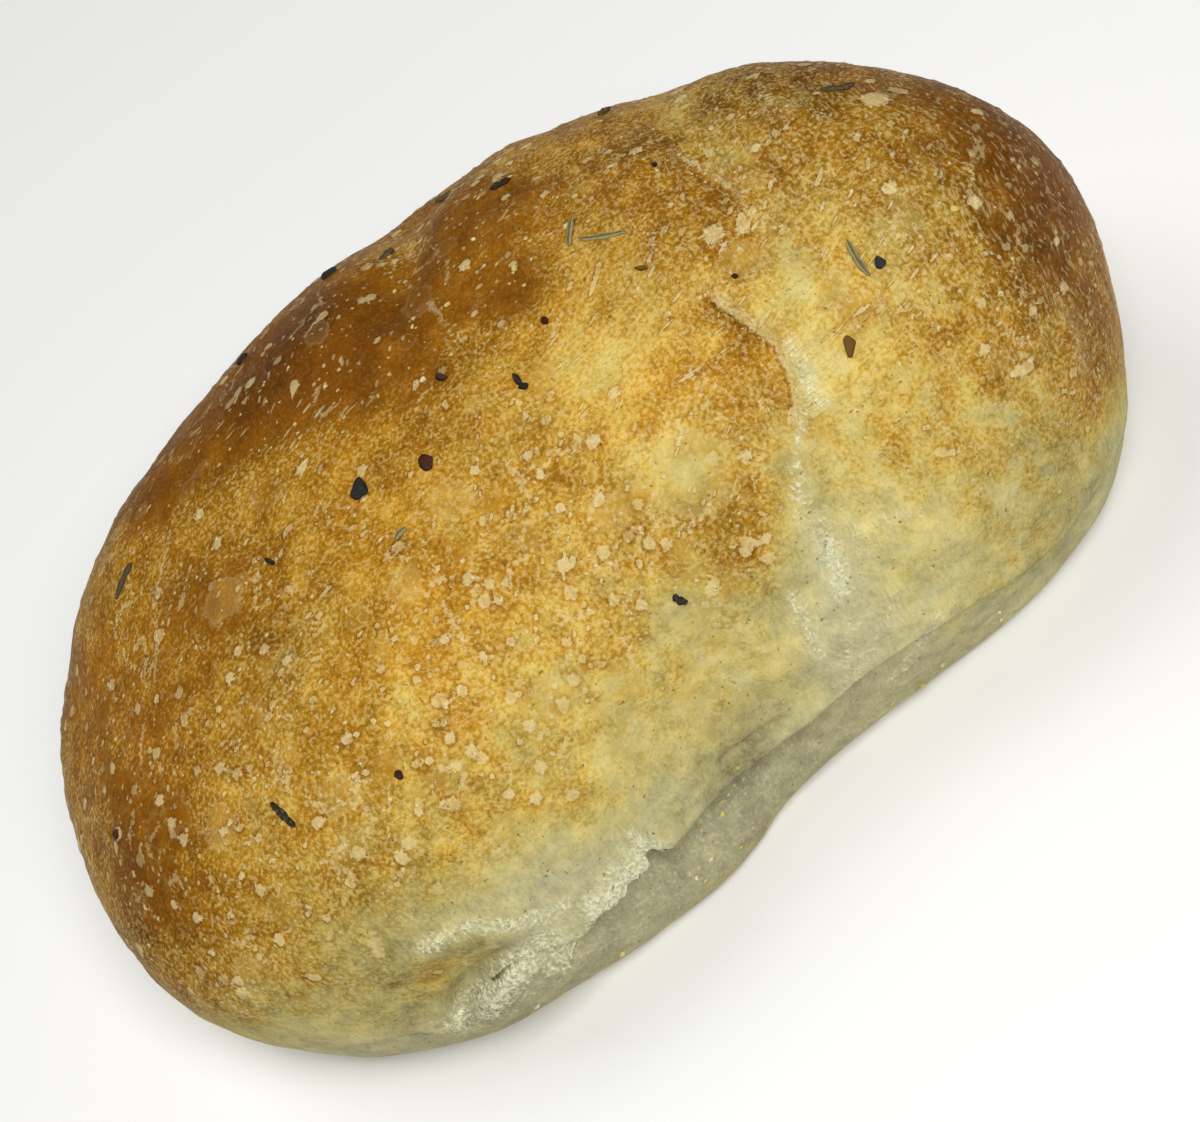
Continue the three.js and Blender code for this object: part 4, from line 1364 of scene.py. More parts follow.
@dataclass(frozen=True)
class Chunk:
    """A chunk with flat broken faces, as cracked pepper and ground maize have."""

    planes: int = 13
    detail: int = 3
    cuts: Span = (0.62, 1.0)
    least_facing: float = 0.05
    corner_reach: float = 1.15

    def build(self, size: Array, seed: int) -> tuple[Array, Array]:
        """Cuts a ball down by planes.

        The radius in a direction v is the least of h / (v . n) over the cutting planes, each with
        its own direction n and distance h.

        Args:
            size: Length, width and thickness.
            seed: Picks the planes.

        Returns:
            The chunk's points about its own middle, and its faces of three corners.
        """
        ball = bpy.data.meshes.new("ball")
        grown = bmesh.new()
        bmesh.ops.create_icosphere(grown, subdivisions=self.detail, radius=1.0)
        grown.to_mesh(ball)
        grown.free()
        points = np.empty(len(ball.vertices) * 3)
        ball.vertices.foreach_get("co", points)
        faces = np.empty(len(ball.polygons) * 3, dtype=np.int32)
        ball.polygons.foreach_get("vertices", faces)
        bpy.data.meshes.remove(ball)
        directions = unit(points.reshape(-1, 3))
        draw = np.random.default_rng(seed)
        normals = unit(draw.normal(size=(self.planes, 3)))
        distances = draw.uniform(*self.cuts, self.planes)
        facing = directions @ normals.T
        cut = distances / np.maximum(facing, self.least_facing)
        reach = np.where(facing > self.least_facing, cut, np.inf).min(axis=1)
        return directions * np.minimum(reach, self.corner_reach)[:, None] * size / 2, faces.reshape(-1, 3)


@dataclass
class Pepper:
    """Cracked black pepper baked on to the crust."""

    chips: tuple[Fleck, ...] = (
        Fleck(-11.2, -4.5, 2.7, 2.1, 75, shade=Shade.BURNT),
        Fleck(-3.9, -7.9, 2.4, 2, 132, shade=Shade.BAKED),
        Fleck(8.6, -7.7, 1.55, 0.8, 94, shade=Shade.BURNT),
        Fleck(44.1, -23, 1.3, 1.2, 20, shade=Shade.BURNT),
        Fleck(36.7, -27.2, 2.3, 1.3, 62, shade=Shade.FRESH),
        Fleck(-0.6, 30.6, 2.3, 1.1, 141, shade=Shade.BURNT),
        Fleck(-14.1, 28.8, 2, 1, 23, shade=Shade.BURNT),
        Fleck(-23.3, -2.8, 1.2, 0.7, 107, shade=Shade.BURNT),
        Fleck(-24.3, -31.3, 1.1, 0.9, 137, shade=Shade.BAKED),
        Fleck(-54.2, -8.3, 1.2, 0.8, 6, shade=Shade.BAKED),
        Fleck(14.5, -4, 0.9, 0.7, 132, shade=Shade.BAKED),
        Fleck(25.4, -7.5, 1.5, 0.7, 130, shade=Shade.FRESH),
        Fleck(8.7, -8.9, 1.1, 0.8, 137, shade=Shade.BURNT),
        Fleck(2.5, -0.7, 1.3, 0.85, 143, shade=Shade.BAKED),
        Fleck(33.4, 3.2, 0.6, 0.5, 20, shade=Shade.BURNT),
        Fleck(32.0, -15.5, 0.7, 0.45, 132, shade=Shade.BAKED),
    )
    thickness: float = 1.1
    lift: float = 0.12
    seed: int = 100
    chunk: Chunk = Chunk()

    def build(self, crust: Crust) -> bpy.types.Object:
        """Lays every chip on the crust and joins them into one piece."""
        shapes = []
        for number, fleck in enumerate(self.chips):
            size = np.array([fleck.length, fleck.width, self.thickness])
            points, faces = self.chunk.build(size, self.seed + number)
            place = crust.frame_on_top(fleck.x, fleck.y, fleck.turn, self.lift)
            masks = {"tint": np.full(len(points), fleck.shade.value)}
            shapes.append((moved_to(place, points), faces, masks))
        return gather("pepper", shapes, rounded=False)


@dataclass
class Cornmeal:
    """Loose grains of cornmeal: a few on the dome, more on the base roll."""

    on_top: tuple[Span, ...] = (
        (15.5, 5.0), (7.6, 7.5), (3.3, 8.0), (0.9, 0.8), (-3.9, 3.5), (8.6, -15.8), (53.3, -21.8),
        (33.2, 2.5), (3.9, 17.6), (3.9, 9.4), (14.1, 13.4),
    )
    on_roll: tuple[Span, ...] = (
        (261.2, 11.1), (262.0, 9.3), (262.5, 8.3), (261.5, 8.0), (258.3, 7.9), (258.8, 6.3),
        (268.9, 12.0), (267.7, 10.9), (322.5, 17.8),
    )
    smallest: float = 0.45
    largest: float = 0.95
    lift: float = 0.05
    scattered: int = 26
    heights: Span = (2.5, 7.5)
    widths: Span = (0.6, 0.9)
    thicknesses: Span = (0.5, 0.8)
    seed: int = 19
    chunk_seed: int = 300
    chunk: Chunk = Chunk(planes=10, detail=2)

    def build(self, crust: Crust) -> bpy.types.Object:
        """Lays every grain and joins them into one piece, with the scattered ones drawn by seed."""
        draw = np.random.default_rng(self.seed)
        half = HALF_DEGREES
        places = [crust.frame_on_top(x, y, draw.uniform(0, half), self.lift) for x, y in self.on_top]
        places += [crust.frame_on_roll(b, h, draw.uniform(0, half), self.lift) for b, h in self.on_roll]
        for _ in range(self.scattered):
            bearing = draw.uniform(0, FULL_DEGREES)
            height = draw.uniform(*self.heights)
            places.append(crust.frame_on_roll(bearing, height, draw.uniform(0, half), self.lift))
        shapes = []
        for number, place in enumerate(places):
            length = draw.uniform(self.smallest, self.largest)
            size = length * np.array([1.0, draw.uniform(*self.widths), draw.uniform(*self.thicknesses)])
            points, faces = self.chunk.build(size, self.chunk_seed + number)
            masks = {"tint": np.full(len(points), draw.uniform(0, 1))}
            shapes.append((moved_to(place, points), faces, masks))
        return gather("cornmeal", shapes, rounded=False)


# ---- Materials


@dataclass
class NodeBench:
    """Adds shader nodes to one node tree and joins them up."""

    tree: Tree

    def add(self, kind: str, **settings: object) -> Node:
        """Adds a node and sets its properties."""
        node = self.tree.nodes.new(kind)
        for name, value in settings.items():
            setattr(node, name, value)
        return node

    def feed(self, node: Node, socket: str | int, value: object) -> None:
        """Links a socket to a node's input, or sets the input where the value is plain."""
        if isinstance(value, Socket):
            self.tree.links.new(value, node.inputs[socket])
        else:
            node.inputs[socket].default_value = value

    def math(self, operation: str, a: object, b: object = 0.0, clamp: bool = False) -> Socket:
        """Works out one number from one or two others."""
        node = self.add("ShaderNodeMath", operation=operation, use_clamp=clamp)
        self.feed(node, 0, a)
        self.feed(node, 1, b)
        return node.outputs[0]

    def total(self, *terms: tuple[object, float]) -> Socket:
        """Adds up values, each times its own weight."""
        result = self.math("MULTIPLY", terms[0][0], terms[0][1])
        for value, weight in terms[1:]:
            node = self.add("ShaderNodeMath", operation="MULTIPLY_ADD")
            self.feed(node, 0, value)
            self.feed(node, 1, weight)
            self.feed(node, 2, result)
            result = node.outputs[0]
        return result

    def product(self, first: object, *others: object, clamp: bool = False) -> Socket:
        """Multiplies values by each other, and clamps each result where that's asked."""
        result = first
        for other in others:
            result = self.math("MULTIPLY", result, other, clamp)
        return result

    def less(self, value: object, share: float) -> Socket:
        """Gives 1 less a share of a value."""
        return self.total((value, -share), (1.0, 1.0))

    def about_zero(self, value: object) -> Socket:
        """Moves a value from 0 to 1 down by a half."""
        return self.total((value, 1.0), (1.0, -0.5))

    def scaled(self, vector: object, scale: Point) -> Socket:
        """Stretches a vector along its three axes."""
        node = self.add("ShaderNodeVectorMath", operation="MULTIPLY")
        self.feed(node, 0, vector)
        self.feed(node, 1, scale)
        return node.outputs[0]

    def moved(self, vector: object, offset: object) -> Socket:
        """Adds an offset to a vector."""
        node = self.add("ShaderNodeVectorMath", operation="ADD")
        self.feed(node, 0, vector)
        self.feed(node, 1, offset)
        return node.outputs[0]

    def toned(self, colour: Socket, lightness: object) -> Socket:
        """Makes a colour lighter or darker by a factor."""
        node = self.add("ShaderNodeVectorMath", operation="SCALE")
        self.feed(node, 0, colour)
        self.feed(node, "Scale", lightness)
        return node.outputs[0]

    def step(self, value: object, start: object, end: object) -> Socket:
        """Gives a smooth step of a value from 0 at start to 1 at end."""
        node = self.add("ShaderNodeMapRange", interpolation_type="SMOOTHSTEP")
        self.feed(node, 0, value)
        self.feed(node, 1, start)
        self.feed(node, 2, end)
        return node.outputs[0]

    def noise(self, vector: object, size: object, detail: float = 2.0, roughness: float = 0.5) -> Node:
        """Adds a noise texture whose features are about size across, in the vector's own units."""
        node = self.add("ShaderNodeTexNoise")
        self.feed(node, "Vector", vector)
        self.feed(node, "Scale", 1 / size if isinstance(size, float) else self.math("DIVIDE", 1.0, size))
        self.feed(node, "Detail", detail)
        self.feed(node, "Roughness", roughness)
        return node

    def mix(self, share: object, first: object, second: object) -> Socket:
        """Mixes two colours."""
        node = self.add("ShaderNodeMix", data_type="RGBA")
        self.feed(node, 0, share)
        self.feed(node, 6, (*first, 1.0) if isinstance(first, tuple) else first)
        self.feed(node, 7, (*second, 1.0) if isinstance(second, tuple) else second)
        return node.outputs[2]

    def ramp(self, value: object, stops: Stops) -> Socket:
        """Turns a value into a colour by named stops."""
        node = self.add("ShaderNodeValToRGB")
        elements = node.color_ramp.elements
        while len(elements) < len(stops):
            elements.new(0.5)
        for element, (place, colour) in zip(elements, stops):
            element.position = place
            element.color = (*colour, 1.0)
        self.feed(node, 0, value)
        return node.outputs[0]

    def mask(self, name: str) -> Socket:
        """Reads a mask that the mesh keeps on its vertices."""
        return self.add("ShaderNodeAttribute", attribute_name=name).outputs["Fac"]

    def place(self) -> Socket:
        """Gives the place on the piece in millimetres."""
        coordinates = self.add("ShaderNodeTexCoord")
        return self.scaled(coordinates.outputs["Object"], (1 / MM, 1 / MM, 1 / MM))

    def group(self, tree: Tree, **inputs: object) -> Node:
        """Places a node group with its own values."""
        node = self.add("ShaderNodeGroup")
        node.node_tree = tree
        for name, value in inputs.items():
            self.feed(node, name.replace("_", " ").capitalize(), value)
        return node


def new_group(name: str, inputs: dict[str, str], outputs: tuple[str, ...]) -> tuple[NodeBench, Node, Node]:
    """Starts a shader node group.

    Args:
        name: Its name.
        inputs: The kind of socket for each input's name.
        outputs: Names of the outputs, which are all plain values.

    Returns:
        A bench for the group, and its input and output nodes.
    """
    tree = bpy.data.node_groups.new(name, "ShaderNodeTree")
    for label, kind in inputs.items():
        tree.interface.new_socket(label, in_out="INPUT", socket_type=kind)
    for label in outputs:
        tree.interface.new_socket(label, in_out="OUTPUT", socket_type="NodeSocketFloat")
    bench = NodeBench(tree)
    return bench, bench.add("NodeGroupInput"), bench.add("NodeGroupOutput")


def speckle_group() -> Tree:
    """Makes the group for grainy speckle: noise, cut by a soft threshold to cover a share.

    Returns:
        A group with the inputs Place, Size, Cover and Softness, and the outputs Mask and Grain.
    """
    inputs = {"Place": "NodeSocketVector"}
    inputs |= {label: "NodeSocketFloat" for label in ("Size", "Cover", "Softness")}
    bench, given, result = new_group("speckle", inputs, ("Mask", "Grain"))
    uncovered_from = 0.72
    cover_slope = -0.45
    grain = bench.noise(given.outputs["Place"], given.outputs["Size"], roughness=FINE_ROUGHNESS).outputs[0]
    middle = bench.total((given.outputs["Cover"], cover_slope), (1.0, uncovered_from))
    start = bench.math("SUBTRACT", middle, given.outputs["Softness"])
    end = bench.math("ADD", middle, given.outputs["Softness"])
    bench.feed(result, "Mask", bench.step(grain, start, end))
    bench.feed(result, "Grain", grain)
    return bench.tree


def granule_group() -> Tree:
    """Makes the group for baked granules: pale grains with thin brown seams between them.

    The distance from the nearest of many scattered points grows towards the seams, and noise
    breaks it up.

    Returns:
        A group with the inputs Place, Size and Grit, and the outputs Seams and Height.
    """
    inputs = {"Place": "NodeSocketVector", "Size": "NodeSocketFloat", "Grit": "NodeSocketFloat"}
    bench, given, result = new_group("granules", inputs, ("Seams", "Height"))
    cells = bench.add("ShaderNodeTexVoronoi")
    bench.feed(cells, "Vector", given.outputs["Place"])
    bench.feed(cells, "Scale", bench.math("DIVIDE", 1.0, given.outputs["Size"]))
    distance = cells.outputs["Distance"]
    grit = given.outputs["Grit"]
    in_seams, grit_in_seams, seam_start = 0.75, 1.5, -0.75
    in_height, grit_in_height = -0.8, 0.6
    bench.feed(result, "Seams", bench.total((distance, in_seams), (grit, grit_in_seams), (1.0, seam_start)))
    bench.feed(result, "Height", bench.total((distance, in_height), (grit, grit_in_height)))
    return bench.tree


def blister_group() -> Tree:
    """Makes the group for small blisters: balls round scattered points, cut by the surface.

    Each cell of a Voronoi pattern holds one ball, whose radius is a random share of Reach. The
    mask is 1 inside it, with a soft rim.

    Returns:
        A group with the inputs Place, Spacing, Reach and Cover, and the outputs Mask and Height.
    """
    inputs = {"Place": "NodeSocketVector"}
    inputs |= {label: "NodeSocketFloat" for label in ("Spacing", "Reach", "Cover")}
    bench, given, result = new_group("blisters", inputs, ("Mask", "Height"))
    cells = bench.add("ShaderNodeTexVoronoi")
    bench.feed(cells, "Vector", given.outputs["Place"])
    bench.feed(cells, "Scale", bench.math("DIVIDE", 1.0, given.outputs["Spacing"]))
    parts = bench.add("ShaderNodeSeparateColor")
    bench.feed(parts, 0, cells.outputs["Color"])
    least_size, least_pale = 0.38, 0.4
    rim, slope = (1.05, 0.8), (1.1, 0.5)
    size = bench.total((parts.outputs[0], 1 - least_size), (1.0, least_size))
    share = bench.math("DIVIDE", cells.outputs["Distance"], bench.product(size, given.outputs["Reach"]))
    chosen = bench.math("LESS_THAN", parts.outputs[1], given.outputs["Cover"])
    pale = bench.total((parts.outputs[2], 1 - least_pale), (1.0, least_pale))
    bench.feed(result, "Mask", bench.product(bench.step(share, *rim), chosen, pale))
    bench.feed(result, "Height", bench.product(bench.step(share, *slope), chosen))
    return bench.tree


@dataclass(frozen=True)
class CrustFinish:
    """Baked crust: from bare dough through gold to dark brown, mottled, blistered and streaked.

    A span holds the two values between which a mask fades in. The other numbers are sizes in
    millimetres, how ragged grit makes a mask, and how much of a mask is added.
    """

    stops: Stops = (
        (0.00, (0.48, 0.45, 0.24)), (0.18, (0.54, 0.445, 0.155)), (0.30, (0.50, 0.350, 0.070)),
        (0.38, (0.465, 0.282, 0.044)), (0.48, (0.39, 0.203, 0.018)), (0.58, (0.315, 0.145, 0.007)),
        (0.68, (0.245, 0.097, 0.003)), (0.85, (0.19, 0.065, 0.001)), (1.00, (0.155, 0.050, 0.001)),
    )
    base_stops: Stops = ((0.25, (0.60, 0.50, 0.28)), (0.55, (0.48, 0.30, 0.10)), (0.85, (0.28, 0.14, 0.03)))
    cream: Colour = (0.68, 0.555, 0.27)
    crumb: Colour = (0.66, 0.645, 0.42)
    # Bare dough darkened by a painted shade, for the base roll under the lip.
    dough_in_painted_shade: Colour = (0.350, 0.333, 0.200)
    speck: Colour = (0.14, 0.06, 0.010)
    specular: float = 0.06
    relief: float = 0.20 * MM

    grit_size: float = 0.48
    grit_roughness: float = 0.7
    bend: float = 0.4
    drift: float = 1.2
    fibre_size: float = 0.36
    fibre_stretch: Point = (1.0, 0.3, 0.3)
    granule_size: float = 0.42
    brown: Span = (0.12, 0.42)
    dark: Span = (0.58, 0.80)
    seams: Span = (0.30, 0.72)

    film_grit: float = 0.5
    film: Span = (1.18, 0.82)
    film_rim: Span = (0.80, 0.97)
    disc_grit: float = 0.8
    disc: Span = (1.12, 0.78)
    ring: Span = (1.55, 1.15)
    small_spacing: float = 1.05
    small_reach: float = 0.28
    small_cover: float = 0.8
    crack_grit: float = 5.0
    crack: Span = (1.7, 0.5)
    fold_grit: float = 0.7
    gap: Span = (0.45, 0.12)
    under: tuple[Span, Span] = ((0.1, -0.3), (-4.2, -0.8))
    # The raised side of the overlapping fold takes cream fibres: a pale ridge, partly a painted highlight.
    over: tuple[Span, Span] = ((0.1, 0.4), (2.2, 0.7))

    strength: float = 0.45
    strength_brown: float = 0.55
    strength_dark: float = -0.45
    strength_film: float = 0.65
    bake_seams: Point = (0.055, 0.065, -0.04)
    bake_hairs: float = 0.10
    bake_film: float = -0.07
    bake_ring: float = 0.09
    bake_tucked: float = 0.15
    bake_gap: float = 0.14
    # How much of the base roll takes the dough in painted shade, less where fibres are.
    roll: float = 1.1
    roll_fibre: float = -0.3
    light_seams: Point = (-0.09, -0.19, 0.11)
    light_hairs: float = 0.45
    light_roll: float = 1.5
    # The gap along the overlapping fold is darkened by a painted shadow.
    gap_painted_shadow: float = -0.28

    fleck: Span = (0.48, 0.36)
    fleck_dark: float = 0.85
    streak: Span = (0.54, 0.66)
    cream_disc: float = 0.72
    cream_small: float = 0.78
    cream_rim: float = 0.16
    cream_crack: float = 0.36
    cream_fleck: float = 0.34
    cream_film: float = 0.07
    cream_streak: float = 0.34
    cream_share: float = 0.42
    cream_brown: float = 0.5
    cream_roll: float = 0.35
    cream_grit: float = 0.8
    chalk_start: float = -0.30
    chalk_fibre: float = 0.7
    chalk_grit: float = 1.6
    chalk: Span = (0.1, 1.1)
    chalk_rim: Span = (0.02, 0.35)
    thread_light: float = 1.02
    thread_fibre: float = 0.9
    thread_grit: float = 0.7

    speck_offset: Point = (7.0, 3.0, 9.0)
    speck_size: float = 0.6
    speck_cover: float = 0.05
    speck_softness: float = 0.015
    speck_share: float = 0.7
    base_fibre: float = 0.6
    base_seams: float = 0.5
    roughness: float = 0.62
    roughness_brown: float = -0.16
    roughness_seams: float = 0.15
    height_small: float = 0.45
    height_disc: float = 0.5
    height_grain: float = 0.35
    height_fibre: float = 0.35
    height_torn: float = 2.4

    def material(self, speckle: Tree, granules: Tree, blisters: Tree) -> bpy.types.Material:
        """Makes the crust's material.

        Args:
            speckle: The group for grainy speckle.
            granules: The group for baked granules.
            blisters: The group for small blisters.

        Returns:
            The material.
        """
        material, bench, shader = new_material("baked_crust", self.specular)
        mixer = CrustMixer(bench, self, granules, blisters)
        bench.feed(shader, "Base Color", mixer.colour(speckle))
        bench.feed(shader, "Roughness", mixer.roughness())
        bump(bench, shader, mixer.height(), self.relief)
        return material


class CrustMixer:
    """Mixes the crust's colour, roughness and height from its masks, by the numbers of its finish."""

    def __init__(self, bench: NodeBench, finish: CrustFinish, granules: Tree, blisters: Tree) -> None:
        """Works out the masks that more than one of the results needs.

        Args:
            bench: The material's bench.
            finish: The numbers to mix by.
            granules: The group for baked granules.
            blisters: The group for small blisters.
        """
        self.bench = bench
        self.finish = finish
        self.place = bench.place()
        noise = bench.noise(self.place, finish.grit_size, 1.0, finish.grit_roughness)
        self.grit = noise.outputs[0]
        self.rough = bench.about_zero(self.grit)
        drifted = bench.moved(self.place, bench.total((bench.mask("drift"), finish.drift)))
        stretched = bench.scaled(drifted, finish.fibre_stretch)
        self.fibre = bench.noise(stretched, finish.fibre_size, roughness=FINE_ROUGHNESS).outputs[0]
        self.hairy = bench.about_zero(self.fibre)
        self.bake = bench.mask("bake")
        self.brown = bench.step(self.bake, *finish.brown)
        self.dark = bench.step(self.bake, *finish.dark)
        self.hairs = bench.product(self.hairy, bench.less(self.brown, 1.0))
        self.rolled = bench.mask("roll")
        bent = bench.moved(self.place, bench.scaled(noise.outputs["Color"], (finish.bend,) * 3))
        grain = bench.group(granules, place=bent, size=finish.granule_size, grit=self.grit)
        self.grain_height = grain.outputs["Height"]
        self.broken = grain.outputs["Seams"]
        self.seams = bench.step(self.broken, *finish.seams)
        reach, cover = finish.small_reach, finish.small_cover
        self.small = bench.group(blisters, place=bent, spacing=finish.small_spacing, reach=reach, cover=cover)
        self.film_edge = self.ragged("film_edge", finish.film_grit)
        self.film = bench.step(self.film_edge, *finish.film)
        self.film_tone = bench.product(self.film, bench.mask("film_pale"), self.brown)
        self.granularity = self.strength()
        self.edge = self.ragged("blister_edge", finish.disc_grit)
        self.disc = bench.step(self.edge, *finish.disc)
        self.fold_side = self.ragged("fold_side", finish.fold_grit)
        self.fold = bench.mask("fold")
        # The gap: a thin strip along the overlapping fold's crease, browner and darkened by a painted shadow.
        self.gap = bench.product(bench.step(bench.math("ABSOLUTE", self.fold_side), *finish.gap), self.fold)

    def ragged(self, name: str, grit: float) -> Socket:
        """Reads a mask of distances and makes it ragged with grit."""
        return self.bench.total((self.bench.mask(name), 1.0), (self.rough, grit))

    def folded(self, spans: tuple[Span, Span]) -> Socket:
        """Gives the strip beside the fold that fades in over one span and out over the other."""
        near, far = (self.bench.step(self.fold_side, *span) for span in spans)
        return self.bench.product(near, far, self.fold)

    def strength(self) -> Socket:
        """Gives how granular the crust is: most where it's golden, and little on a film."""
        finish = self.finish
        brown, dark = finish.strength_brown, finish.strength_dark
        bare = self.bench.less(self.film, finish.strength_film)
        return self.bench.product(
            self.bench.total((self.brown, brown), (self.dark, dark), (1.0, finish.strength)), bare
        )

    def granular(self, soft: float, broken: float, rest: float) -> Socket:
        """Adds up the granules' soft and broken seams and a rest, where the crust is granular."""
        grains = self.bench.total((self.seams, soft), (self.broken, broken), (1.0, rest))
        return self.bench.product(grains, self.granularity)

    def colour(self, speckle: Tree) -> Socket:
        """Lays the colours over each other: crust, dough in painted shade, cream, crumb, specks and the base.
        """
        bench, finish = self.bench, self.finish
        colour = bench.ramp(self.browning(), finish.stops)
        # The base roll under the lip gets a painted shade: a darker copy of the bare dough.
        dough = bench.total((self.fibre, finish.roll_fibre), (1.0, finish.roll))
        colour = bench.mix(bench.product(self.rolled, dough, clamp=True), colour, finish.dough_in_painted_shade)
        colour = bench.toned(colour, self.lightness())
        colour = bench.mix(self.creamy(), colour, finish.cream)
        chalk = self.chalk()
        colour = bench.mix(chalk, colour, finish.crumb)
        threads = bench.total((self.hairy, finish.thread_fibre), (self.rough, finish.thread_grit))
        colour = bench.toned(
            colour, bench.total((bench.product(threads, chalk), 1.0), (1.0, finish.thread_light))
        )
        specks = bench.group(
            speckle,
            place=bench.moved(self.place, finish.speck_offset),
            size=finish.speck_size,
            cover=finish.speck_cover,
            softness=finish.speck_softness,
        )
        colour = bench.mix(bench.product(specks.outputs["Mask"], finish.speck_share), colour, finish.speck)
        baked = bench.total((self.fibre, finish.base_fibre), (self.broken, finish.base_seams))
        return bench.mix(bench.mask("base"), colour, bench.ramp(baked, finish.base_stops))

    def browning(self) -> Socket:
        """Gives how brown each place is, with its granules, fibres, films and folds."""
        bench, finish = self.bench, self.finish
        ring = bench.math("SUBTRACT", bench.step(self.edge, *finish.ring), self.disc)
        return bench.total(
            (self.bake, 1.0), (self.granular(*finish.bake_seams), 1.0), (self.hairs, finish.bake_hairs),
            (self.film_tone, finish.bake_film), (bench.product(ring, self.brown), finish.bake_ring),
            (self.folded(finish.under), finish.bake_tucked), (self.gap, finish.bake_gap),
        )

    def lightness(self) -> Socket:
        """Gives how light each place is for its browning, about 1, with painted light and shade."""
        finish = self.finish
        return self.bench.total(
            # Painted light and shade, with random toning.
            (self.bench.mask("tone_and_painted_shade"), 1.0), (self.granular(*finish.light_seams), 1.0),
            (self.hairs, finish.light_hairs),
            (self.bench.product(self.rough, self.rolled), finish.light_roll),
            # Painted shadow in the gap along the overlapping fold.
            (self.gap, finish.gap_painted_shadow),
        )

    def creamy(self) -> Socket:
        """Gives the share of cream: blisters, films' rims, cracks, flecks, streaks and the raised fold."""
        bench, finish = self.bench, self.finish
        light = bench.less(self.dark, finish.fleck_dark)
        flecked = bench.product(bench.step(self.grit, *finish.fleck), light)
        cracked = bench.step(self.ragged("crack_edge", finish.crack_grit), *finish.crack)
        streaked = bench.product(bench.step(self.fibre, *finish.streak), bench.mask("streak"))
        pale = bench.total(
            (bench.product(self.disc, bench.mask("blister_pale")), finish.cream_disc),
            (self.small.outputs["Mask"], finish.cream_small),
            (bench.product(bench.step(self.film_edge, *finish.film_rim), self.film), finish.cream_rim),
            (cracked, finish.cream_crack), (flecked, finish.cream_fleck),
            (self.film_tone, finish.cream_film),
            # Raised side of the overlapping fold: a pale ridge, partly a painted highlight.
            (bench.product(self.folded(finish.over), self.fibre), 1.0), (streaked, finish.cream_streak),
        )
        share = bench.total(
            (self.brown, finish.cream_brown), (self.rolled, finish.cream_roll),
            (self.rough, finish.cream_grit), (1.0, finish.cream_share),
        )
        return bench.product(pale, share, clamp=True)

    def chalk(self) -> Socket:
        """Gives the share of white crumb, broken up by fibres and grit."""
        bench, finish = self.bench, self.finish
        chalky = bench.total(
            (bench.mask("chalk"), 1.0), (self.fibre, finish.chalk_fibre), (self.rough, finish.chalk_grit),
            (1.0, finish.chalk_start),
        )
        inside = bench.step(bench.mask("chalk"), *finish.chalk_rim)
        return bench.product(bench.step(chalky, *finish.chalk), inside)

    def roughness(self) -> Socket:
        """Gives the roughness: less where the crust is brown, more in the seams."""
        finish = self.finish
        brown, seams = finish.roughness_brown, finish.roughness_seams
        return self.bench.total((self.brown, brown), (self.broken, seams), (1.0, finish.roughness))

    def height(self) -> Socket:
        """Gives the fine height of granules, blisters, fibres and torn crumb."""
        bench, finish = self.bench, self.finish
        small = self.small.outputs["Height"]
        raised = bench.total((small, finish.height_small), (self.disc, finish.height_disc))
        return bench.total(
            (self.grain_height, finish.height_grain), (bench.product(raised, self.brown), 1.0),
            (self.fibre, finish.height_fibre),
            (bench.product(bench.mask("chalk"), self.grit), finish.height_torn),
        )


def new_material(name: str, specular: float) -> tuple[bpy.types.Material, NodeBench, Node]:
    """Starts a material.

    Args:
        name: Its name.
        specular: Its specular level.

    Returns:
        The material, a bench for its nodes, and its main shader.
    """
    material = bpy.data.materials.new(name)
    material.use_nodes = True
    bench = NodeBench(material.node_tree)
    shader = material.node_tree.nodes["Principled BSDF"]
    shader.inputs["Specular IOR Level"].default_value = specular
    return material, bench, shader


def bump(bench: NodeBench, shader: Node, height: Socket, distance: float) -> None:
    """Feeds a height to a shader's normal through a Bump node of a given height in metres."""
    node = bench.add("ShaderNodeBump")
    node.inputs["Strength"].default_value = 1.0
    node.inputs["Distance"].default_value = distance
    bench.feed(node, "Height", height)
    bench.feed(shader, "Normal", node.outputs["Normal"])


@dataclass(frozen=True)
class FleckFinish:
    """A fleck's finish: a colour from fresh to burnt, grainy speckle, perhaps a painted shade in its channel.
    """

    slot: str
    stops: Stops
    fleck: Colour
    grain: float
    cover: float
    roughness: float
    relief: float = 0.06 * MM
    # Painted shade in a needle's channel, the groove along its top.
    channel: Colour | None = None
    channel_burnt: float = 0.5
    specular: float = 0.12
    softness: float = 0.08
    spotting: float = 0.6
    roughness_grain: float = 0.3

    def material(self, speckle: Tree) -> bpy.types.Material:
        """Makes the material, with the shared group for speckle."""
        material, bench, shader = new_material(self.slot + "_finish", self.specular)
        grains = bench.group(
            speckle, place=bench.place(), size=self.grain, cover=self.cover, softness=self.softness
        )
        colour = bench.ramp(bench.mask("tint"), self.stops)
        # Paints shade into the channel, most on fresh needles.
        if self.channel is not None:
            fresh = bench.less(bench.mask("tint"), self.channel_burnt)
            share = bench.product(bench.mask("channel"), fresh, clamp=True)
            colour = bench.mix(share, colour, self.channel)
        spotted = bench.product(grains.outputs["Mask"], self.spotting)
        plain = self.roughness - self.roughness_grain / 2
        roughness = bench.total((grains.outputs["Grain"], self.roughness_grain), (1.0, plain))
        bench.feed(shader, "Base Color", bench.mix(spotted, colour, self.fleck))
        bench.feed(shader, "Roughness", roughness)
        bump(bench, shader, grains.outputs["Grain"], self.relief)
        return material


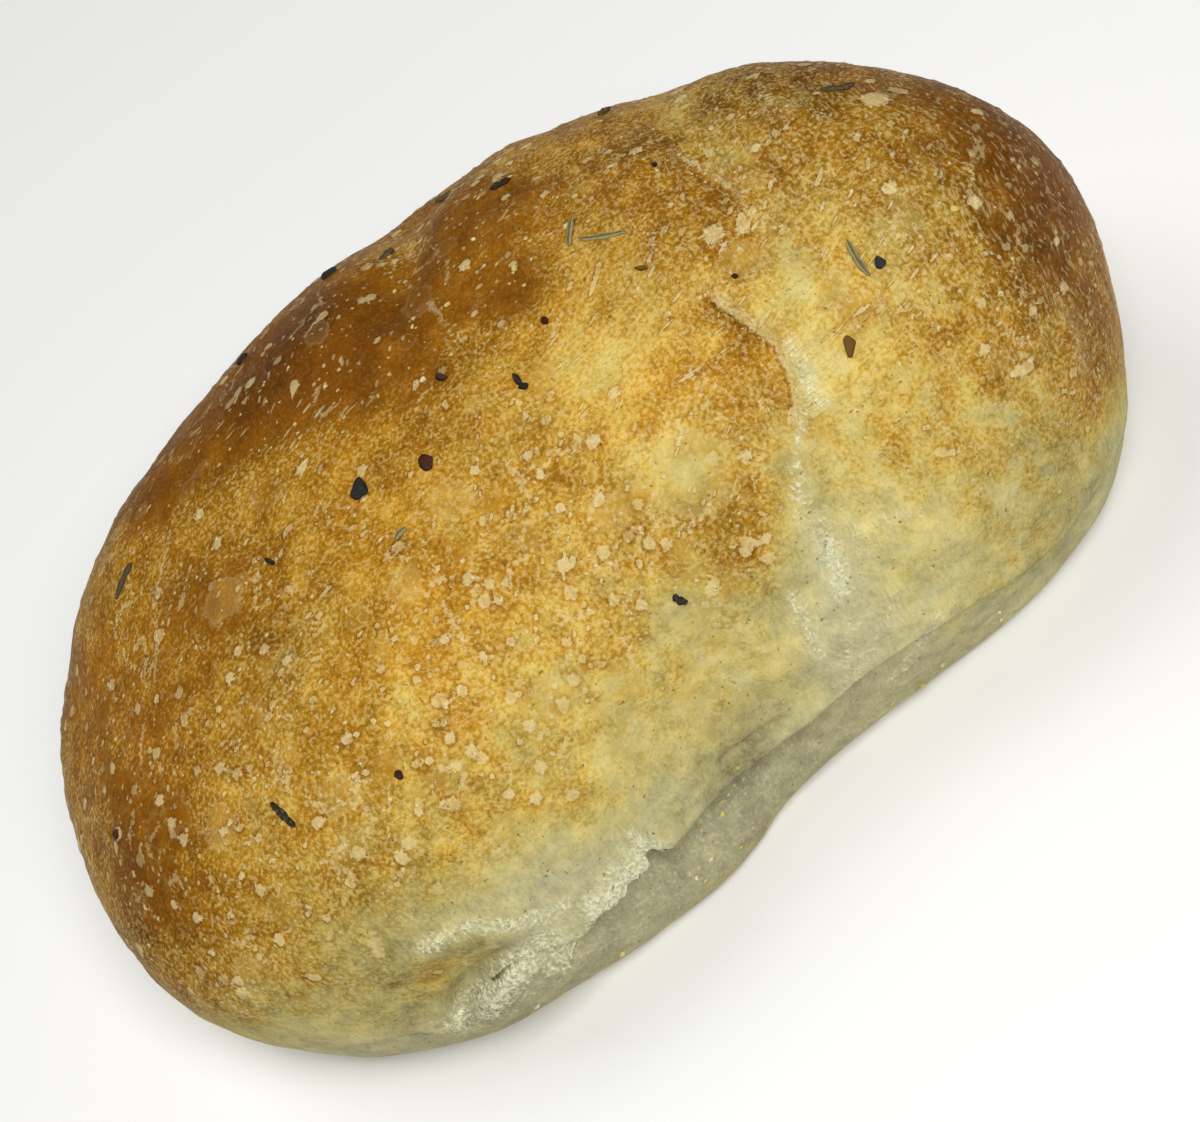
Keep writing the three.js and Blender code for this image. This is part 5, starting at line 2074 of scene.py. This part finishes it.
ROSEMARY_FINISH = FleckFinish(
    "rosemary",
    ((0.0, (0.33, 0.28, 0.12)), (0.5, (0.085, 0.060, 0.030)), (1.0, (0.022, 0.016, 0.012))),
    fleck=(0.16, 0.13, 0.07),
    grain=0.35, cover=0.22, roughness=0.75,
    # Painted shade in the channel along each needle.
    channel=(0.05, 0.04, 0.015),
)
PEPPER_FINISH = FleckFinish(
    "pepper",
    ((0.0, (0.13, 0.065, 0.008)), (0.5, (0.05, 0.015, 0.007)), (1.0, (0.023, 0.021, 0.019))),
    fleck=(0.09, 0.085, 0.085),
    grain=0.35, cover=0.12, roughness=0.6,
)
CORNMEAL_FINISH = FleckFinish(
    "cornmeal",
    ((0.0, (0.54, 0.40, 0.05)), (0.75, (0.62, 0.52, 0.20)), (1.0, (0.80, 0.78, 0.60))),
    fleck=(0.66, 0.60, 0.30),
    grain=0.4, cover=0.3, roughness=0.5,
)


# ---- The studio


@dataclass(frozen=True)
class SoftBox:
    """A square soft light that points at the roll."""

    name: str
    place: Point
    side: float
    power: float
    target: Point = (0, 0, 0.02)

    def build(self) -> None:
        """Adds the light, in metres and watts."""
        light = bpy.data.lights.new(self.name, "AREA")
        light.size = self.side
        light.energy = self.power
        lamp = bpy.data.objects.new(self.name, light)
        lamp.location = self.place
        towards = Vector(self.target) - Vector(self.place)
        lamp.rotation_euler = towards.to_track_quat("-Z", "Y").to_euler()
        bpy.context.scene.collection.objects.link(lamp)


@dataclass
class Studio:
    """A pale floor, soft lights, and the camera at the photograph's angle."""

    elevation: float = 50.0
    roll: float = 37.0
    distance: float = 300.0
    target: Point = (4.2, -11.1, 25.0)
    lens: float = 83.16
    floor_half: float = 1.5
    floor_colour: Colour = (0.90, 0.90, 0.89)
    floor_darker: float = 0.97
    floor_clouds: float = 120.0
    floor_roughness: float = 0.8
    floor_specular: float = 0.3
    near_limit: float = 0.01
    sky: float = 0.04
    lights: tuple[SoftBox, ...] = (
        SoftBox("key", (0.10, -0.51, 0.80), 0.48, 8.2), SoftBox("top", (-0.46, 0.50, 1.58), 1.20, 11.4),
    )

    def build(self, middle: Array) -> None:
        """Sets up the floor, the lights, the sky and the camera.

        Args:
            middle: Where the loaf's own axis lay before it was centred.
        """
        self.build_floor()
        for light in self.lights:
            light.build()
        world = bpy.data.worlds.new("soft_sky")
        world.use_nodes = True
        background = world.node_tree.nodes["Background"]
        background.inputs["Color"].default_value = (1, 1, 1, 1)
        background.inputs["Strength"].default_value = self.sky
        bpy.context.scene.world = world
        bpy.context.scene.view_settings.view_transform = "Standard"
        self.build_camera(Vector(np.array(self.target) - middle) * MM)

    def build_floor(self) -> None:
        """Adds a plain pale floor, faintly mottled."""
        half = self.floor_half / MM
        corners = np.array([[-half, -half, 0.0], [half, -half, 0.0], [half, half, 0.0], [-half, half, 0.0]])
        floor = make_piece("floor", corners, [np.array([[0, 1, 2, 3]])], {})
        material, bench, shader = new_material("pale_floor", self.floor_specular)
        clouds = bench.noise(bench.place(), self.floor_clouds).outputs[0]
        darker = tuple(self.floor_darker * part for part in self.floor_colour)
        bench.feed(shader, "Base Color", bench.mix(clouds, self.floor_colour, darker))
        shader.inputs["Roughness"].default_value = self.floor_roughness
        floor.data.materials.append(material)

    def build_camera(self, target: Vector) -> None:
        """Adds the camera, which looks down on the near side and is rolled about its own axis.

        Args:
            target: The point that it looks at, in metres.
        """
        up_angle = np.radians(self.elevation)
        roll = np.radians(self.roll)
        back = Vector((0, -np.cos(up_angle), np.sin(up_angle)))
        right = Vector((1, 0, 0))
        up = back.cross(right)
        picture_right = right * np.cos(roll) - up * np.sin(roll)
        picture_up = right * np.sin(roll) + up * np.cos(roll)
        camera = bpy.data.cameras.new("camera")
        camera.lens = self.lens
        camera.clip_start = self.near_limit
        holder = bpy.data.objects.new("camera", camera)
        pose = Matrix((picture_right, picture_up, back)).transposed().to_4x4()
        pose.translation = target + back * self.distance * MM
        holder.matrix_world = pose
        bpy.context.scene.collection.objects.link(holder)
        bpy.context.scene.camera = holder


# ---- Putting it together


def dress(
    piece: bpy.types.Object, material: bpy.types.Material, replaced: str | None = None
) -> None:
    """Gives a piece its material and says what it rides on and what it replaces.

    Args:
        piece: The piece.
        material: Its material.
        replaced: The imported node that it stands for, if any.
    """
    piece.data.materials.append(material)
    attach(piece, BODY)
    if replaced:
        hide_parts(replaced)
    LOG.info("%s: %d faces", piece.name, len(piece.data.polygons))


def main() -> None:
    """Builds the crust, the flecks on it and the studio."""
    logging.basicConfig(level=logging.INFO, format="%(message)s")
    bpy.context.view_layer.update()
    speckle = speckle_group()
    crust = Crust()
    baked = CrustFinish().material(speckle, granule_group(), blister_group())
    dress(crust.build(), baked, SOLID)
    dress(Rosemary().build(crust), ROSEMARY_FINISH.material(speckle), SOLID)
    dress(Pepper().build(crust), PEPPER_FINISH.material(speckle), SOLID)
    dress(Cornmeal().build(crust), CORNMEAL_FINISH.material(speckle))
    Studio().build(crust.middle)


if __name__ == "__main__":
    main()
